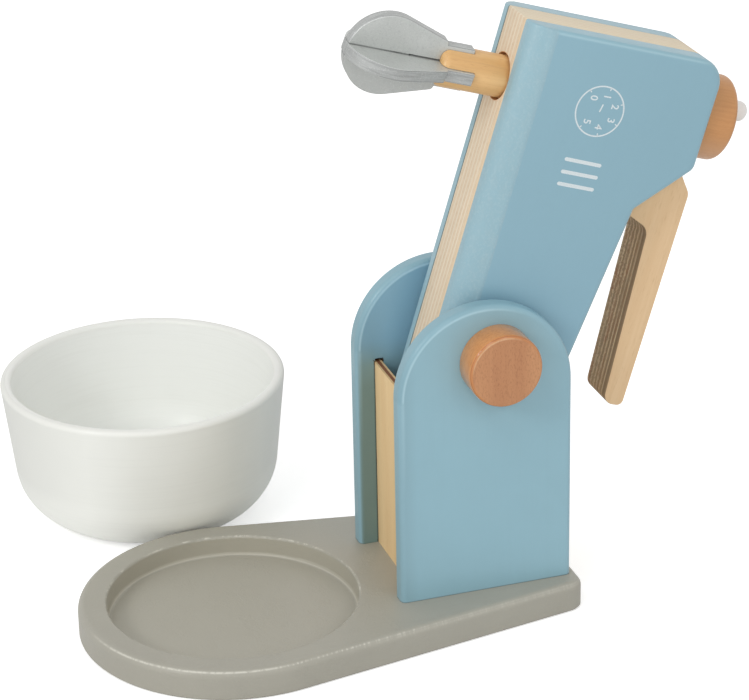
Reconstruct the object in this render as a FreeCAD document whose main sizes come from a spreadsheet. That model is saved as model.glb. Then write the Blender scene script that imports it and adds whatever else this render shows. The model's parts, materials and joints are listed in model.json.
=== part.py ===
import FreeCAD, Part
import math
import os

import Sketcher

# Wooden toy stand mixer with a tilting head, a turning whisk and a loose bowl.
# Millimetres. Origin on the table under the centre of the bowl recess, +Z up, +X from the bowl end to the
# column, +Y to the left board of the column. The head is built upright in its own frame, whose origin is
# the pivot axis, and is then laid back by rest_tilt. The whisk, knob and peg are built along their own axis.

V = FreeCAD.Vector
doc = FreeCAD.newDocument("ToyStandMixer")

# ---------------------------------------------------------------- driving dimensions
SIZES = {
    # base board
    "base_radius": 60.0, "base_thickness": 12.0, "base_rear": 131.8, "base_rear_half_width": 36.9,
    "base_rear_corner": 7.0, "base_top_round": 3.0, "base_foot_bevel": 0.8,
    "recess_radius": 48.8, "recess_depth": 8.5, "recess_rim_round": 1.0, "recess_cove": 1.6,
    # column
    "column_front": 59.0, "column_depth": 69.5, "column_width": 60.0, "board_thickness": 8.0,
    "arch_height": 96.0, "board_round": 2.2,
    "panel_thickness": 3.0, "panel_inset": 7.75, "groove_depth": 2.5, "groove_overrun": 1.5,
    "glue_gap": 0.05,
    # pivot
    "pivot_back": 97.5, "pivot_height": 108.5, "rod_diameter": 12.0, "running_gap": 0.06,
    "cap_radius": 14.4, "cap_thickness": 12.0, "cap_round": 1.3, "cap_socket": 8.0,
    "washer_radius": 12.0, "washer_gap": 0.1,
    # head
    "core_thickness": 18.4, "cover_thickness": 10.3, "head_front": 17.8, "head_rear": 62.4,
    "head_top": 124.8, "head_foot": 26.2, "heel_back": 32.1, "waist_back": 43.0, "waist_up": 63.3,
    "shoulder_up": 82.7, "top_corner": 10.0, "shoulder_round": 4.0, "waist_round": 1.3,
    "heel_round": 4.0, "core_top_round": 0.7, "cover_front_round": 9.6, "cover_edge_round": 2.3,
    "stop_gap": 0.05, "rest_tilt": 17.3,
    # handle
    "handle_back": 68.8, "handle_top": 70.6, "handle_slant_up": 78.8, "handle_foot": 18.4,
    "grip_foot_back": 60.4, "grip_top_back": 56.3, "grip_top_up": 54.1, "gap_top_up": 60.0,
    "handle_corner": 2.5, "grip_round": 5.0, "grip_foot_round": 4.5,
    # whisk
    "whisk_reach": 99.8, "bore_wall": 1.2, "nose_front": 43.8, "nose_back": 2.0, "nose_round": 3.0,
    "tail_radius": 4.0, "mouth_clearance": 0.6, "mouth_depth": 3.0,
    "blade_thickness": 4.7, "blade_end_radius": 16.0, "blade_end_centre": 64.2, "blade_neck": 42.4,
    "neck_step": 1.4, "neck_round": 0.9, "tab_end": 31.3, "tab_proud": 0.5,
    "blade_shift": 0.5,
    "blade_crossing": 55.6, "slot_gap": 0.15, "blade_spin": 11.0,
    # knob and crank peg
    "knob_radius": 16.5, "knob_thickness": 13.0, "knob_gap": 0.4, "knob_round": 2.5,
    "knob_inner_bevel": 0.8, "knob_socket": 8.0, "peg_radius": 4.0, "peg_offset": 10.0,
    "peg_length": 16.0, "peg_socket": 5.0, "peg_round": 3.0,
    # bowl
    "bowl_radius": 58.8, "bowl_foot_radius": 52.2, "bowl_height": 60.5, "bowl_wall": 4.6,
    "bowl_floor": 7.0, "bowl_outer_round": 24.0, "bowl_inner_round": 21.0, "bowl_rim_round": 1.9,
    "bowl_forward": 5.7, "bowl_beside": 51.0,
    # wood screws from under the base into the boards
    "screw_radius": 1.75, "screw_head_radius": 3.6, "screw_length": 32.0, "screw_sink": 0.3,
    "screw_spacing": 38.0, "screw_gap": 0.1,
}


def tilted(back, up):
    """Height over the table of a point of the laid-back head, given back from and up from the pivot."""
    turn = math.radians(SIZES["rest_tilt"])
    return SIZES["pivot_height"] + up * math.cos(turn) - back * math.sin(turn)


def heel_height():
    """Lowest point of the laid-back head's rounded heel, which rests on the rear panel."""
    lean = math.atan2(SIZES["waist_back"] - SIZES["heel_back"], SIZES["waist_up"] + SIZES["head_foot"])
    radius = SIZES["heel_round"]
    # the round touches the foot line and the rear edge, which leans back by lean
    inward = radius * (1 - math.sin(lean)) / math.cos(lean)
    return tilted(SIZES["heel_back"] - inward, radius - SIZES["head_foot"]) - radius


SIZES["rear_panel_top"] = heel_height() - SIZES["stop_gap"]

sheet = doc.addObject("Spreadsheet::Sheet", "Sizes")
for row, (alias, value) in enumerate(SIZES.items(), start=1):
    sheet.set("A%d" % row, alias)
    sheet.set("B%d" % row, repr(round(value, 6)))
    sheet.setAlias("B%d" % row, alias)
doc.recompute()


class Size:
    """A number together with the sheet expression that it comes from."""

    def __init__(self, value, text):
        self.value = float(value)
        self.text = text

    def __add__(self, other):
        other = size(other)
        return Size(self.value + other.value, "(%s + %s)" % (self.text, other.text))

    def __sub__(self, other):
        other = size(other)
        return Size(self.value - other.value, "(%s - %s)" % (self.text, other.text))

    def __mul__(self, other):
        other = size(other)
        return Size(self.value * other.value, "(%s * %s)" % (self.text, other.text))

    def __truediv__(self, other):
        other = size(other)
        return Size(self.value / other.value, "(%s / %s)" % (self.text, other.text))

    def __neg__(self):
        return Size(-self.value, "(-1 * %s)" % self.text)


def size(number):
    return number if isinstance(number, Size) else Size(number, repr(float(number)))


class Sizes:
    """Every named value of the sheet, as a Size."""


S = Sizes()
for alias in SIZES:
    setattr(S, alias, Size(sheet.get(alias), "Sizes.%s" % alias))


# ---------------------------------------------------------------- helpers
def body(label, placement=None):
    made = doc.addObject("PartDesign::Body", label)
    made.Label = label
    if placement is not None:
        made.Placement = placement
    return made


def sketch_on(owner, role, offset=None, rise=None):
    """A sketch on one of the body's own origin planes, moved along its normal by offset and up by rise."""
    made = owner.newObject("Sketcher::SketchObject", owner.Name + "_sketch")
    plane = [item for item in owner.Origin.OriginFeatures if item.Role == role][0]
    made.AttachmentSupport = (plane, [""])
    made.MapMode = "FlatFace"
    if offset is not None:
        made.setExpression(".AttachmentOffset.Base.z", offset.text)
    if rise is not None:
        made.setExpression(".AttachmentOffset.Base.y", rise.text)
    doc.recompute()
    return made


def fix(sketch, kind, geometry, point, amount):
    """One driving distance from the sketch's origin to a point, bound to the sheet."""
    amount = size(amount)
    index = sketch.addConstraint(Sketcher.Constraint(kind, -1, 1, geometry, point, amount.value))
    sketch.setExpression("Constraints[%d]" % index, amount.text)


def fix_point(sketch, geometry, point, x, y):
    fix(sketch, "DistanceX", geometry, point, x)
    fix(sketch, "DistanceY", geometry, point, y)


def outline(sketch, points):
    """A closed outline of straight lines; each corner is a pair of sizes."""
    first = sketch.GeometryCount
    corners = [V(size(x).value, size(y).value, 0) for x, y in points]
    count = len(corners)
    for index in range(count):
        sketch.addGeometry(Part.LineSegment(corners[index], corners[(index + 1) % count]), False)
    for index in range(count):
        after = first + (index + 1) % count
        sketch.addConstraint(Sketcher.Constraint("Coincident", first + index, 2, after, 1))
    for index, (x, y) in enumerate(points):
        fix_point(sketch, first + index, 1, x, y)


def circle(sketch, x, y, radius):
    x, y = size(x), size(y)
    index = sketch.addGeometry(Part.Circle(V(x.value, y.value, 0), V(0, 0, 1), radius.value), False)
    number = sketch.addConstraint(Sketcher.Constraint("Radius", index, radius.value))
    sketch.setExpression("Constraints[%d]" % number, radius.text)
    fix_point(sketch, index, 3, x, y)


def feature(owner, kind, name, **values):
    made = owner.newObject("PartDesign::" + kind, owner.Name + "_" + name)
    for key, value in values.items():
        setattr(made, key, value)
    return made


def pad(owner, sketch, length, symmetric=False, backwards=False, name="pad"):
    made = feature(owner, "Pad", name, Profile=sketch, Reversed=backwards)
    if symmetric:
        made.SideType = "Symmetric"
    made.setExpression("Length", length.text)
    doc.recompute()
    return made


def pocket(owner, sketch, length=None, symmetric=False, backwards=False, name="pocket"):
    """Cuts the sketch to a depth, or right through both ways when no depth is given."""
    before = owner.Shape.Volume
    made = feature(owner, "Pocket", name, Profile=sketch)
    if length is None:
        made.Type = "ThroughAll"
    else:
        made.setExpression("Length", length.text)
    if symmetric or length is None:
        made.SideType = "Symmetric"
    made.Reversed = backwards
    doc.recompute()
    if owner.Shape.Volume > before - 0.01:
        raise RuntimeError("%s cuts nothing" % made.Name)
    return made


def turned(owner, sketch, axis, kind="Revolution", name="turned"):
    """A revolution, or a groove, about the sketch's own horizontal or vertical axis."""
    before = owner.Shape.Volume if kind == "Groove" else None
    made = feature(owner, kind, name, Profile=sketch, ReferenceAxis=(sketch, [axis]), Angle=360.0)
    doc.recompute()
    if before is not None and owner.Shape.Volume > before - 0.01:
        raise RuntimeError("%s cuts nothing" % made.Name)
    return made


def round_edges(owner, wanted, radius, name="round"):
    """A fillet on every edge of the body so far that the test wanted accepts."""
    tip = owner.Tip
    names = ["Edge%d" % (index + 1) for index, edge in enumerate(tip.Shape.Edges) if wanted(edge)]
    if not names:
        raise RuntimeError("no edges to round on %s" % owner.Name)
    made = feature(owner, "Fillet", name, Base=(tip, names))
    made.setExpression("Radius", radius.text)
    doc.recompute()
    return made


def is_circle(edge, radius):
    return edge.Curve.TypeId == "Part::GeomCircle" and abs(edge.Curve.Radius - size(radius).value) < 0.01


def bevel_edges(owner, wanted, width, name="bevel"):
    """A chamfer on every edge of the body so far that the test wanted accepts."""
    tip = owner.Tip
    names = ["Edge%d" % (index + 1) for index, edge in enumerate(tip.Shape.Edges) if wanted(edge)]
    if not names:
        raise RuntimeError("no edges to bevel on %s" % owner.Name)
    made = feature(owner, "Chamfer", name, Base=(tip, names))
    made.setExpression("Size", width.text)
    doc.recompute()
    return made


def ends(edge):
    return [vertex.Point for vertex in edge.Vertexes]


def lies_at(edge, axis, amount, slack=0.02):
    """True where every end of the edge has that coordinate."""
    return all(abs(getattr(point, axis) - amount) < slack for point in ends(edge))


def runs_along(edge, axis):
    points = ends(edge)
    if len(points) != 2:
        return False
    step = points[1] - points[0]
    across = [name for name in "xyz" if name != axis]
    return step.Length > 1e-6 and all(abs(getattr(step, name)) < 1e-3 for name in across)


def near(edge, x, z, slack=0.6):
    """True where an edge that runs along Y stands at that corner of the outline."""
    point = ends(edge)[0]
    return abs(point.x - x) < slack and abs(point.z - z) < slack


def corner(x, z):
    x, z = size(x).value, size(z).value
    return lambda edge: runs_along(edge, "y") and near(edge, x, z)


def pose(turn_axis, degrees, place=V(0, 0, 0)):
    return FreeCAD.Placement(place, FreeCAD.Rotation(turn_axis, degrees))


# ---------------------------------------------------------------- shared sizes
half_width = S.column_width / 2
half_clear = half_width - S.board_thickness
head_half = S.core_thickness / 2 + S.cover_thickness
floor_top = S.base_thickness
front_panel_face = S.column_front + S.panel_inset
rear_panel_face = S.column_front + S.column_depth - S.panel_inset - S.panel_thickness
front_panel_top = S.pivot_height - S.head_front - S.stop_gap
rod_bore = S.rod_diameter / 2 + S.running_gap
knob_face = S.head_rear + S.knob_gap
nose_radius = S.core_thickness / 2 - S.bore_wall
tab_half_width = nose_radius + S.tab_proud
neck_half_width = tab_half_width + S.neck_step
gap_top_back = S.heel_back + (S.waist_back - S.heel_back) * (
    (S.gap_top_up + S.head_foot) / (S.waist_up + S.head_foot))

pivot = V(S.pivot_back.value, 0, S.pivot_height.value)
head_pose = pose(V(0, 1, 0), S.rest_tilt.value, pivot)
whisk_pose = head_pose.multiply(pose(V(0, 1, 0), 0, V(0, 0, S.whisk_reach.value)))


def whisk_turned(degrees):
    return whisk_pose.multiply(pose(V(1, 0, 0), degrees))


# ---------------------------------------------------------------- base board
def screw_places():
    middle = S.column_front + S.column_depth / 2
    reach = half_width - S.board_thickness / 2
    for side in (-1, 1):
        for end in (-0.5, 0.5):
            yield middle + S.screw_spacing * end, reach * side


def base_plate():
    made = body("base_plate")
    sk = sketch_on(made, "XY_Plane")
    radius, rear, side = S.base_radius.value, S.base_rear.value, S.base_rear_half_width.value
    angle = math.atan2(side, rear) + math.acos(radius / math.hypot(rear, side))
    touch = V(radius * math.cos(angle), radius * math.sin(angle), 0)
    left, right = V(rear, side, 0), V(rear, -side, 0)
    round_end = Part.Circle(V(0, 0, 0), V(0, 0, 1), radius)
    sk.addGeometry(Part.ArcOfCircle(round_end, angle, 2 * math.pi - angle), False)
    sk.addGeometry(Part.LineSegment(V(touch.x, -touch.y, 0), right), False)
    sk.addGeometry(Part.LineSegment(right, left), False)
    sk.addGeometry(Part.LineSegment(left, touch), False)
    sk.addConstraint(Sketcher.Constraint("Coincident", 0, 3, -1, 1))
    sk.addConstraint(Sketcher.Constraint("Tangent", 0, 2, 1, 1))
    sk.addConstraint(Sketcher.Constraint("Coincident", 1, 2, 2, 1))
    sk.addConstraint(Sketcher.Constraint("Coincident", 2, 2, 3, 1))
    sk.addConstraint(Sketcher.Constraint("Tangent", 3, 2, 0, 1))
    number = sk.addConstraint(Sketcher.Constraint("Radius", 0, radius))
    sk.setExpression("Constraints[%d]" % number, S.base_radius.text)
    fix_point(sk, 2, 1, S.base_rear, -S.base_rear_half_width)
    fix_point(sk, 2, 2, S.base_rear, S.base_rear_half_width)
    pad(made, sk, S.base_thickness)
    round_edges(made, lambda e: runs_along(e, "z") and ends(e)[0].x > rear - 1, S.base_rear_corner, "corners")
    top = S.base_thickness.value
    round_edges(made, lambda e: lies_at(e, "z", top), S.base_top_round, "top_edge")
    bevel_edges(made, lambda e: lies_at(e, "z", 0), S.base_foot_bevel, "foot_edge")
    dish = sketch_on(made, "XY_Plane", S.base_thickness)
    circle(dish, 0, 0, S.recess_radius)
    pocket(made, dish, S.recess_depth, name="recess")

    def on_recess(edge, height):
        return is_circle(edge, S.recess_radius) and lies_at(edge, "z", height)

    round_edges(made, lambda e: on_recess(e, top), S.recess_rim_round, "recess_rim")
    floor = (S.base_thickness - S.recess_depth).value
    round_edges(made, lambda e: on_recess(e, floor), S.recess_cove, "recess_cove")
    bore = S.screw_radius + S.screw_gap
    holes = sketch_on(made, "XY_Plane")
    for x, y in screw_places():
        circle(holes, x, y, bore)
    pocket(made, holes, S.base_thickness, backwards=True, name="screw_holes")
    bevel_edges(made, lambda e: is_circle(e, bore) and lies_at(e, "z", 0),
                S.screw_head_radius + S.screw_sink - S.screw_radius, "screw_seats")
    return made


# ---------------------------------------------------------------- column
def column_board(label, side):
    """An arched side board; side is -1 for the right board and 1 for the left."""
    made = body(label)
    outer = half_width * side
    sk = sketch_on(made, "XZ_Plane", -outer)
    front, back = S.column_front, S.column_front + S.column_depth
    radius = S.column_depth / 2
    middle = front + radius
    low, high = floor_top.value, S.arch_height.value
    sk.addGeometry(Part.LineSegment(V(back.value, low, 0), V(back.value, high, 0)), False)
    arch = Part.Circle(V(middle.value, high, 0), V(0, 0, 1), radius.value)
    sk.addGeometry(Part.ArcOfCircle(arch, 0, math.pi), False)
    sk.addGeometry(Part.LineSegment(V(front.value, high, 0), V(front.value, low, 0)), False)
    sk.addGeometry(Part.LineSegment(V(front.value, low, 0), V(back.value, low, 0)), False)
    sk.addConstraint(Sketcher.Constraint("Coincident", 0, 2, 1, 1))
    sk.addConstraint(Sketcher.Constraint("Coincident", 1, 2, 2, 1))
    sk.addConstraint(Sketcher.Constraint("Coincident", 2, 2, 3, 1))
    sk.addConstraint(Sketcher.Constraint("Coincident", 3, 2, 0, 1))
    fix_point(sk, 0, 1, back, floor_top)
    fix_point(sk, 2, 2, front, floor_top)
    fix_point(sk, 0, 2, back, S.arch_height)
    fix_point(sk, 2, 1, front, S.arch_height)
    fix(sk, "DistanceY", 1, 3, S.arch_height)
    pad(made, sk, S.board_thickness, backwards=side < 0)
    faces = (outer.value, (half_clear * side).value)
    round_edges(made, lambda e: any(lies_at(e, "y", face) for face in faces)
                and not lies_at(e, "z", low), S.board_round, "edges")
    for name, face in (("front", front_panel_face), ("rear", rear_panel_face)):
        slot = sketch_on(made, "XZ_Plane", -(half_clear * side))
        left, right = face - S.glue_gap, face + S.panel_thickness + S.glue_gap
        top = (front_panel_top if name == "front" else S.rear_panel_top) + S.groove_overrun
        outline(slot, [(left, floor_top), (right, floor_top), (right, top), (left, top)])
        pocket(made, slot, S.groove_depth, backwards=side < 0, name=name + "_groove")
    bore = sketch_on(made, "XZ_Plane")
    circle(bore, S.pivot_back, S.pivot_height, rod_bore)
    pocket(made, bore, name="pivot_bore")
    for index, (x, y) in enumerate(screw_places()):
        if (y.value > 0) == (side > 0):
            pilot = sketch_on(made, "XY_Plane", floor_top)
            circle(pilot, x, y, S.screw_radius + S.screw_gap)
            depth = S.screw_length + S.screw_sink - S.base_thickness + S.screw_gap
            pocket(made, pilot, depth, backwards=True, name="pilot_%d" % index)
    return made


def panel(label, face, top):
    """A thin plywood panel let into the grooves of both boards."""
    made = body(label)
    sk = sketch_on(made, "YZ_Plane", face)
    reach = half_clear + S.groove_depth - S.glue_gap
    outline(sk, [(-reach, floor_top), (reach, floor_top), (reach, top), (-reach, top)])
    pad(made, sk, S.panel_thickness)
    return made


# ---------------------------------------------------------------- pivot
def pivot_rod():
    made = body("pivot_rod")
    sk = sketch_on(made, "XZ_Plane")
    circle(sk, S.pivot_back, S.pivot_height, S.rod_diameter / 2)
    pad(made, sk, S.column_width + (S.cap_socket - S.glue_gap) * 2, symmetric=True)
    return made


def pivot_cap(label, side):
    made = body(label)
    sk = sketch_on(made, "XZ_Plane", -(half_width * side))
    circle(sk, S.pivot_back, S.pivot_height, S.cap_radius)
    pad(made, sk, S.cap_thickness, backwards=side > 0)
    face = ((half_width + S.cap_thickness) * side).value
    round_edges(made, lambda e: lies_at(e, "y", face) and is_circle(e, S.cap_radius), S.cap_round, "edge")
    socket = sketch_on(made, "XZ_Plane", -(half_width * side))
    circle(socket, S.pivot_back, S.pivot_height, S.rod_diameter / 2 + S.glue_gap)
    pocket(made, socket, S.cap_socket, backwards=side < 0, name="socket")
    return made


def pivot_washer(label, side):
    made = body(label)
    sk = sketch_on(made, "XZ_Plane", -((head_half + S.washer_gap) * side))
    circle(sk, S.pivot_back, S.pivot_height, S.washer_radius)
    circle(sk, S.pivot_back, S.pivot_height, rod_bore)
    pad(made, sk, half_clear - head_half - S.washer_gap * 2, backwards=side > 0)
    return made


# ---------------------------------------------------------------- head
def head_corner_rounds(made):
    """The outline corners that the core and its covers share."""
    round_edges(made, corner(S.head_rear, S.head_top), S.top_corner, "top_corner")
    round_edges(made, corner(S.heel_back, -S.head_foot), S.heel_round, "heel")


def head_core():
    """The plywood middle of the head; its rear edge runs on into the handle."""
    made = body("head_core", head_pose)
    sk = sketch_on(made, "XZ_Plane")
    front = -S.head_front
    outline(sk, [
        (front, -S.head_foot), (S.heel_back, -S.head_foot), (gap_top_back, S.gap_top_up),
        (S.grip_top_back, S.grip_top_up), (S.grip_foot_back, -S.handle_foot),
        (S.handle_back, -S.handle_foot), (S.handle_back, S.handle_top), (S.head_rear, S.handle_slant_up),
        (S.head_rear, S.head_top), (front, S.head_top)])
    pad(made, sk, S.core_thickness, symmetric=True)
    head_corner_rounds(made)
    round_edges(made, corner(gap_top_back, S.gap_top_up), S.handle_corner, "gap_inner")
    round_edges(made, corner(S.grip_top_back, S.grip_top_up), S.grip_round, "grip_top")
    round_edges(made, corner(S.grip_foot_back, -S.handle_foot), S.grip_foot_round, "grip_foot")
    round_edges(made, corner(S.handle_back, -S.handle_foot), S.handle_corner, "handle_foot")
    round_edges(made, corner(S.handle_back, S.handle_top), S.shoulder_round, "handle_top")
    round_edges(made, corner(S.head_rear, S.handle_slant_up), S.shoulder_round, "handle_root")
    round_edges(made, corner(front, S.head_top), S.core_top_round, "front_top")
    bore = sketch_on(made, "XZ_Plane")
    circle(bore, 0, 0, rod_bore)
    pocket(made, bore, name="pivot_bore")
    # the whisk's stepped bore: a wide mouth, the nose's bearing, then the tail's bearing to the rear edge
    channel = sketch_on(made, "XZ_Plane", rise=S.whisk_reach)
    nose, tail = nose_radius + S.running_gap, S.tail_radius + S.running_gap
    ahead, behind = front - S.head_front, S.head_rear + S.knob_gap
    step = S.nose_back + S.running_gap
    mouth, mouth_end = nose_radius + S.mouth_clearance, front + S.mouth_depth
    outline(channel, [
        (ahead, 0), (behind, 0), (behind, tail), (step, tail), (step, nose), (mouth_end, nose),
        (mouth_end, mouth), (ahead, mouth)])
    turned(made, channel, "H_Axis", kind="Groove", name="whisk_bore")
    return made


def head_cover(label, side):
    """A painted board glued on one face of the core, with a broad round along its front edge."""
    made = body(label, head_pose)
    inner = S.core_thickness / 2
    sk = sketch_on(made, "XZ_Plane", -(inner * side))
    front = -S.head_front
    outline(sk, [
        (front, -S.head_foot), (S.heel_back, -S.head_foot), (S.waist_back, S.waist_up),
        (S.head_rear, S.shoulder_up), (S.head_rear, S.head_top), (front, S.head_top)])
    pad(made, sk, S.cover_thickness, backwards=side > 0)
    head_corner_rounds(made)
    round_edges(made, corner(S.head_rear, S.shoulder_up), S.shoulder_round, "shoulder")
    round_edges(made, corner(S.waist_back, S.waist_up), S.waist_round, "waist")
    face = (head_half * side).value
    round_edges(made, lambda e: lies_at(e, "y", face) and lies_at(e, "x", front.value),
                S.cover_front_round, "front")
    round_edges(made, lambda e: lies_at(e, "y", face) and lies_at(e, "z", S.head_top.value),
                S.cover_edge_round, "edges")
    bore = sketch_on(made, "XZ_Plane")
    circle(bore, 0, 0, rod_bore)
    pocket(made, bore, name="pivot_bore")
    return made


# ---------------------------------------------------------------- whisk
def whisk_shaft():
    """A turned shaft: a stout nose with a cross-slotted end, and a thin tail that runs back to the knob."""
    made = body("whisk_shaft", whisk_turned(S.blade_spin.value))
    sk = sketch_on(made, "XZ_Plane")
    front = -S.nose_front
    tail_end = knob_face + S.knob_socket - S.glue_gap
    outline(sk, [
        (front, 0), (tail_end, 0), (tail_end, S.tail_radius), (S.nose_back, S.tail_radius),
        (S.nose_back, nose_radius), (front, nose_radius)])
    turned(made, sk, "H_Axis")
    round_edges(made, lambda e: lies_at(e, "x", front.value) and is_circle(e, nose_radius),
                S.nose_round, "nose_round")
    far, inner, beyond = front * 2, -S.tab_end + S.glue_gap, nose_radius * 2
    for role, name in (("XZ_Plane", "upright_slot"), ("XY_Plane", "cross_slot")):
        slot = sketch_on(made, role)
        outline(slot, [(far, -beyond), (inner, -beyond), (inner, beyond), (far, beyond)])
        pocket(made, slot, S.blade_thickness + S.glue_gap * 2, symmetric=True, name=name)
    return made


def whisk_blade(label, turn, slot_from_tip):
    """A flat balloon-shaped plate, a little off centre, with a tab for the shaft and a half-lap slot."""
    made = body(label, whisk_turned(S.blade_spin.value + turn))
    sk = sketch_on(made, "XZ_Plane")
    radius, wide = S.blade_end_radius.value, neck_half_width.value
    neck_ahead = S.blade_end_centre.value - S.blade_neck.value
    angle = math.atan2(wide, neck_ahead) + math.acos(radius / math.hypot(neck_ahead, wide))
    corners = []
    for along, aside in (
            (-S.blade_neck, -neck_half_width), (-S.blade_neck, -tab_half_width),
            (-S.tab_end, -tab_half_width), (-S.tab_end, tab_half_width),
            (-S.blade_neck, tab_half_width), (-S.blade_neck, neck_half_width)):
        corners.append((along, S.blade_shift + aside))
    centre = V(-S.blade_end_centre.value, S.blade_shift.value, 0)
    touch = V(radius * math.cos(angle), radius * math.sin(angle), 0)
    path = [centre + V(touch.x, -touch.y, 0)]
    path += [V(along.value, aside.value, 0) for along, aside in corners]
    path += [centre + touch]
    round_end = Part.Circle(centre, V(0, 0, 1), radius)
    sk.addGeometry(Part.ArcOfCircle(round_end, angle, 2 * math.pi - angle), False)
    for start, end in zip(path, path[1:]):
        sk.addGeometry(Part.LineSegment(start, end), False)
    last = len(corners) + 1
    sk.addConstraint(Sketcher.Constraint("Tangent", 0, 2, 1, 1))
    for index in range(1, last):
        sk.addConstraint(Sketcher.Constraint("Coincident", index, 2, index + 1, 1))
    sk.addConstraint(Sketcher.Constraint("Tangent", last, 2, 0, 1))
    number = sk.addConstraint(Sketcher.Constraint("Radius", 0, radius))
    sk.setExpression("Constraints[%d]" % number, S.blade_end_radius.text)
    fix_point(sk, 0, 3, -S.blade_end_centre, S.blade_shift)
    for index, (along, aside) in enumerate(corners, start=1):
        fix_point(sk, index, 2, along, aside)
    pad(made, sk, S.blade_thickness, symmetric=True)
    for name, side in (("neck_below", -1), ("neck_above", 1)):
        round_edges(made, corner(-S.blade_neck, S.blade_shift + neck_half_width * side), S.neck_round, name)
    half = S.blade_thickness / 2 + S.slot_gap
    start = -S.blade_crossing + S.slot_gap if slot_from_tip else -S.blade_crossing - S.slot_gap
    end = -S.blade_end_centre - S.blade_end_radius * 2 if slot_from_tip else size(0)
    slot = sketch_on(made, "XZ_Plane")
    outline(slot, [(start, -half), (end, -half), (end, half), (start, half)])
    pocket(made, slot, S.blade_thickness * 2, symmetric=True, name="slot")
    return made


def turning_knob():
    made = body("turning_knob", whisk_turned(S.blade_spin.value))
    sk = sketch_on(made, "YZ_Plane", knob_face)
    circle(sk, 0, 0, S.knob_radius)
    pad(made, sk, S.knob_thickness)
    inner, outer = knob_face, knob_face + S.knob_thickness
    round_edges(made, lambda e: lies_at(e, "x", outer.value), S.knob_round, "outer_edge")
    bevel_edges(made, lambda e: lies_at(e, "x", inner.value), S.knob_inner_bevel, "inner_edge")
    socket = sketch_on(made, "YZ_Plane", inner)
    circle(socket, 0, 0, S.tail_radius + S.glue_gap)
    pocket(made, socket, S.knob_socket, backwards=True, name="shaft_socket")
    hole = sketch_on(made, "YZ_Plane", outer)
    circle(hole, S.peg_offset, 0, S.peg_radius + S.glue_gap)
    pocket(made, hole, S.peg_socket + S.glue_gap, name="peg_socket")
    return made


def crank_peg():
    made = body("crank_peg", whisk_turned(S.blade_spin.value))
    sk = sketch_on(made, "YZ_Plane", knob_face + S.knob_thickness - S.peg_socket)
    circle(sk, S.peg_offset, 0, S.peg_radius)
    pad(made, sk, S.peg_socket + S.peg_length)
    end = (knob_face + S.knob_thickness + S.peg_length).value
    round_edges(made, lambda e: lies_at(e, "x", end), S.peg_round, "end")
    return made


# ---------------------------------------------------------------- bowl
def bowl():
    aside = S.base_radius + S.bowl_beside
    made = body("bowl", pose(V(0, 0, 1), 0, V(-S.bowl_forward.value, aside.value, 0)))
    sk = sketch_on(made, "XZ_Plane")
    inner_top, inner_foot = S.bowl_radius - S.bowl_wall, S.bowl_foot_radius - S.bowl_wall
    outline(sk, [
        (0, 0), (S.bowl_foot_radius, 0), (S.bowl_radius, S.bowl_height), (inner_top, S.bowl_height),
        (inner_foot, S.bowl_floor), (0, S.bowl_floor)])
    turned(made, sk, "V_Axis")
    rim = S.bowl_height.value
    round_edges(made, lambda e: lies_at(e, "z", rim), S.bowl_rim_round, "rim")
    round_edges(made, lambda e: is_circle(e, S.bowl_foot_radius) and lies_at(e, "z", 0),
                S.bowl_outer_round, "outer_foot")
    round_edges(made, lambda e: is_circle(e, inner_foot) and lies_at(e, "z", S.bowl_floor.value),
                S.bowl_inner_round, "inner_foot")
    return made


# ---------------------------------------------------------------- wood screws
def board_screws():
    """Four countersunk wood screws from under the base, as one group of separate solids."""
    screws = []
    cone_height = S.screw_head_radius - S.screw_radius
    for index, (x, y) in enumerate(screw_places()):
        shank = doc.addObject("Part::Cylinder", "screw_shank_%d" % index)
        shank.setExpression("Radius", S.screw_radius.text)
        shank.setExpression("Height", (S.screw_length - S.screw_sink).text)
        top = doc.addObject("Part::Cone", "screw_head_%d" % index)
        top.setExpression("Radius1", S.screw_head_radius.text)
        top.setExpression("Radius2", S.screw_radius.text)
        top.setExpression("Height", cone_height.text)
        for piece in (shank, top):
            piece.setExpression(".Placement.Base.x", x.text)
            piece.setExpression(".Placement.Base.y", y.text)
            piece.setExpression(".Placement.Base.z", S.screw_sink.text)
        screw = doc.addObject("Part::MultiFuse", "screw_%d" % index)
        screw.Shapes = [shank, top]
        screws.append(screw)
    group = doc.addObject("Part::Compound", "board_screws")
    group.Links = screws
    group.Label = "board_screws"
    doc.recompute()
    return group


# ---------------------------------------------------------------- build, check and write
nodes = [
    base_plate(), column_board("column_board_right", -1), column_board("column_board_left", 1),
    panel("front_panel", front_panel_face, front_panel_top),
    panel("rear_panel", rear_panel_face, S.rear_panel_top),
    pivot_rod(), pivot_cap("pivot_cap_right", -1), pivot_cap("pivot_cap_left", 1),
    pivot_washer("pivot_washer_right", -1), pivot_washer("pivot_washer_left", 1),
    head_core(), head_cover("head_cover_right", -1), head_cover("head_cover_left", 1),
    whisk_shaft(), whisk_blade("whisk_blade_upright", 0, False), whisk_blade("whisk_blade_cross", 90, True),
    turning_knob(), crank_peg(), bowl(), board_screws(),
]
doc.recompute()
for item in doc.Objects:
    if "Invalid" in item.State or "Error" in item.State:
        raise RuntimeError("%s failed: %s" % (item.Name, item.State))
for node in nodes:
    if node.Shape.isNull() or not node.Shape.isValid() or not node.Shape.Solids:
        raise RuntimeError("%s has no sound shape" % node.Label)
os.makedirs("parts", exist_ok=True)
for node in nodes:
    node.Shape.exportStep("parts/%s.step" % node.Label)
    print("%-22s %d solid(s) %10.1f mm3" % (node.Label, len(node.Shape.Solids), node.Shape.Volume))
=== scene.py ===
import json
import math

import bmesh
import bpy
from mathutils import Matrix, Vector


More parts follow.
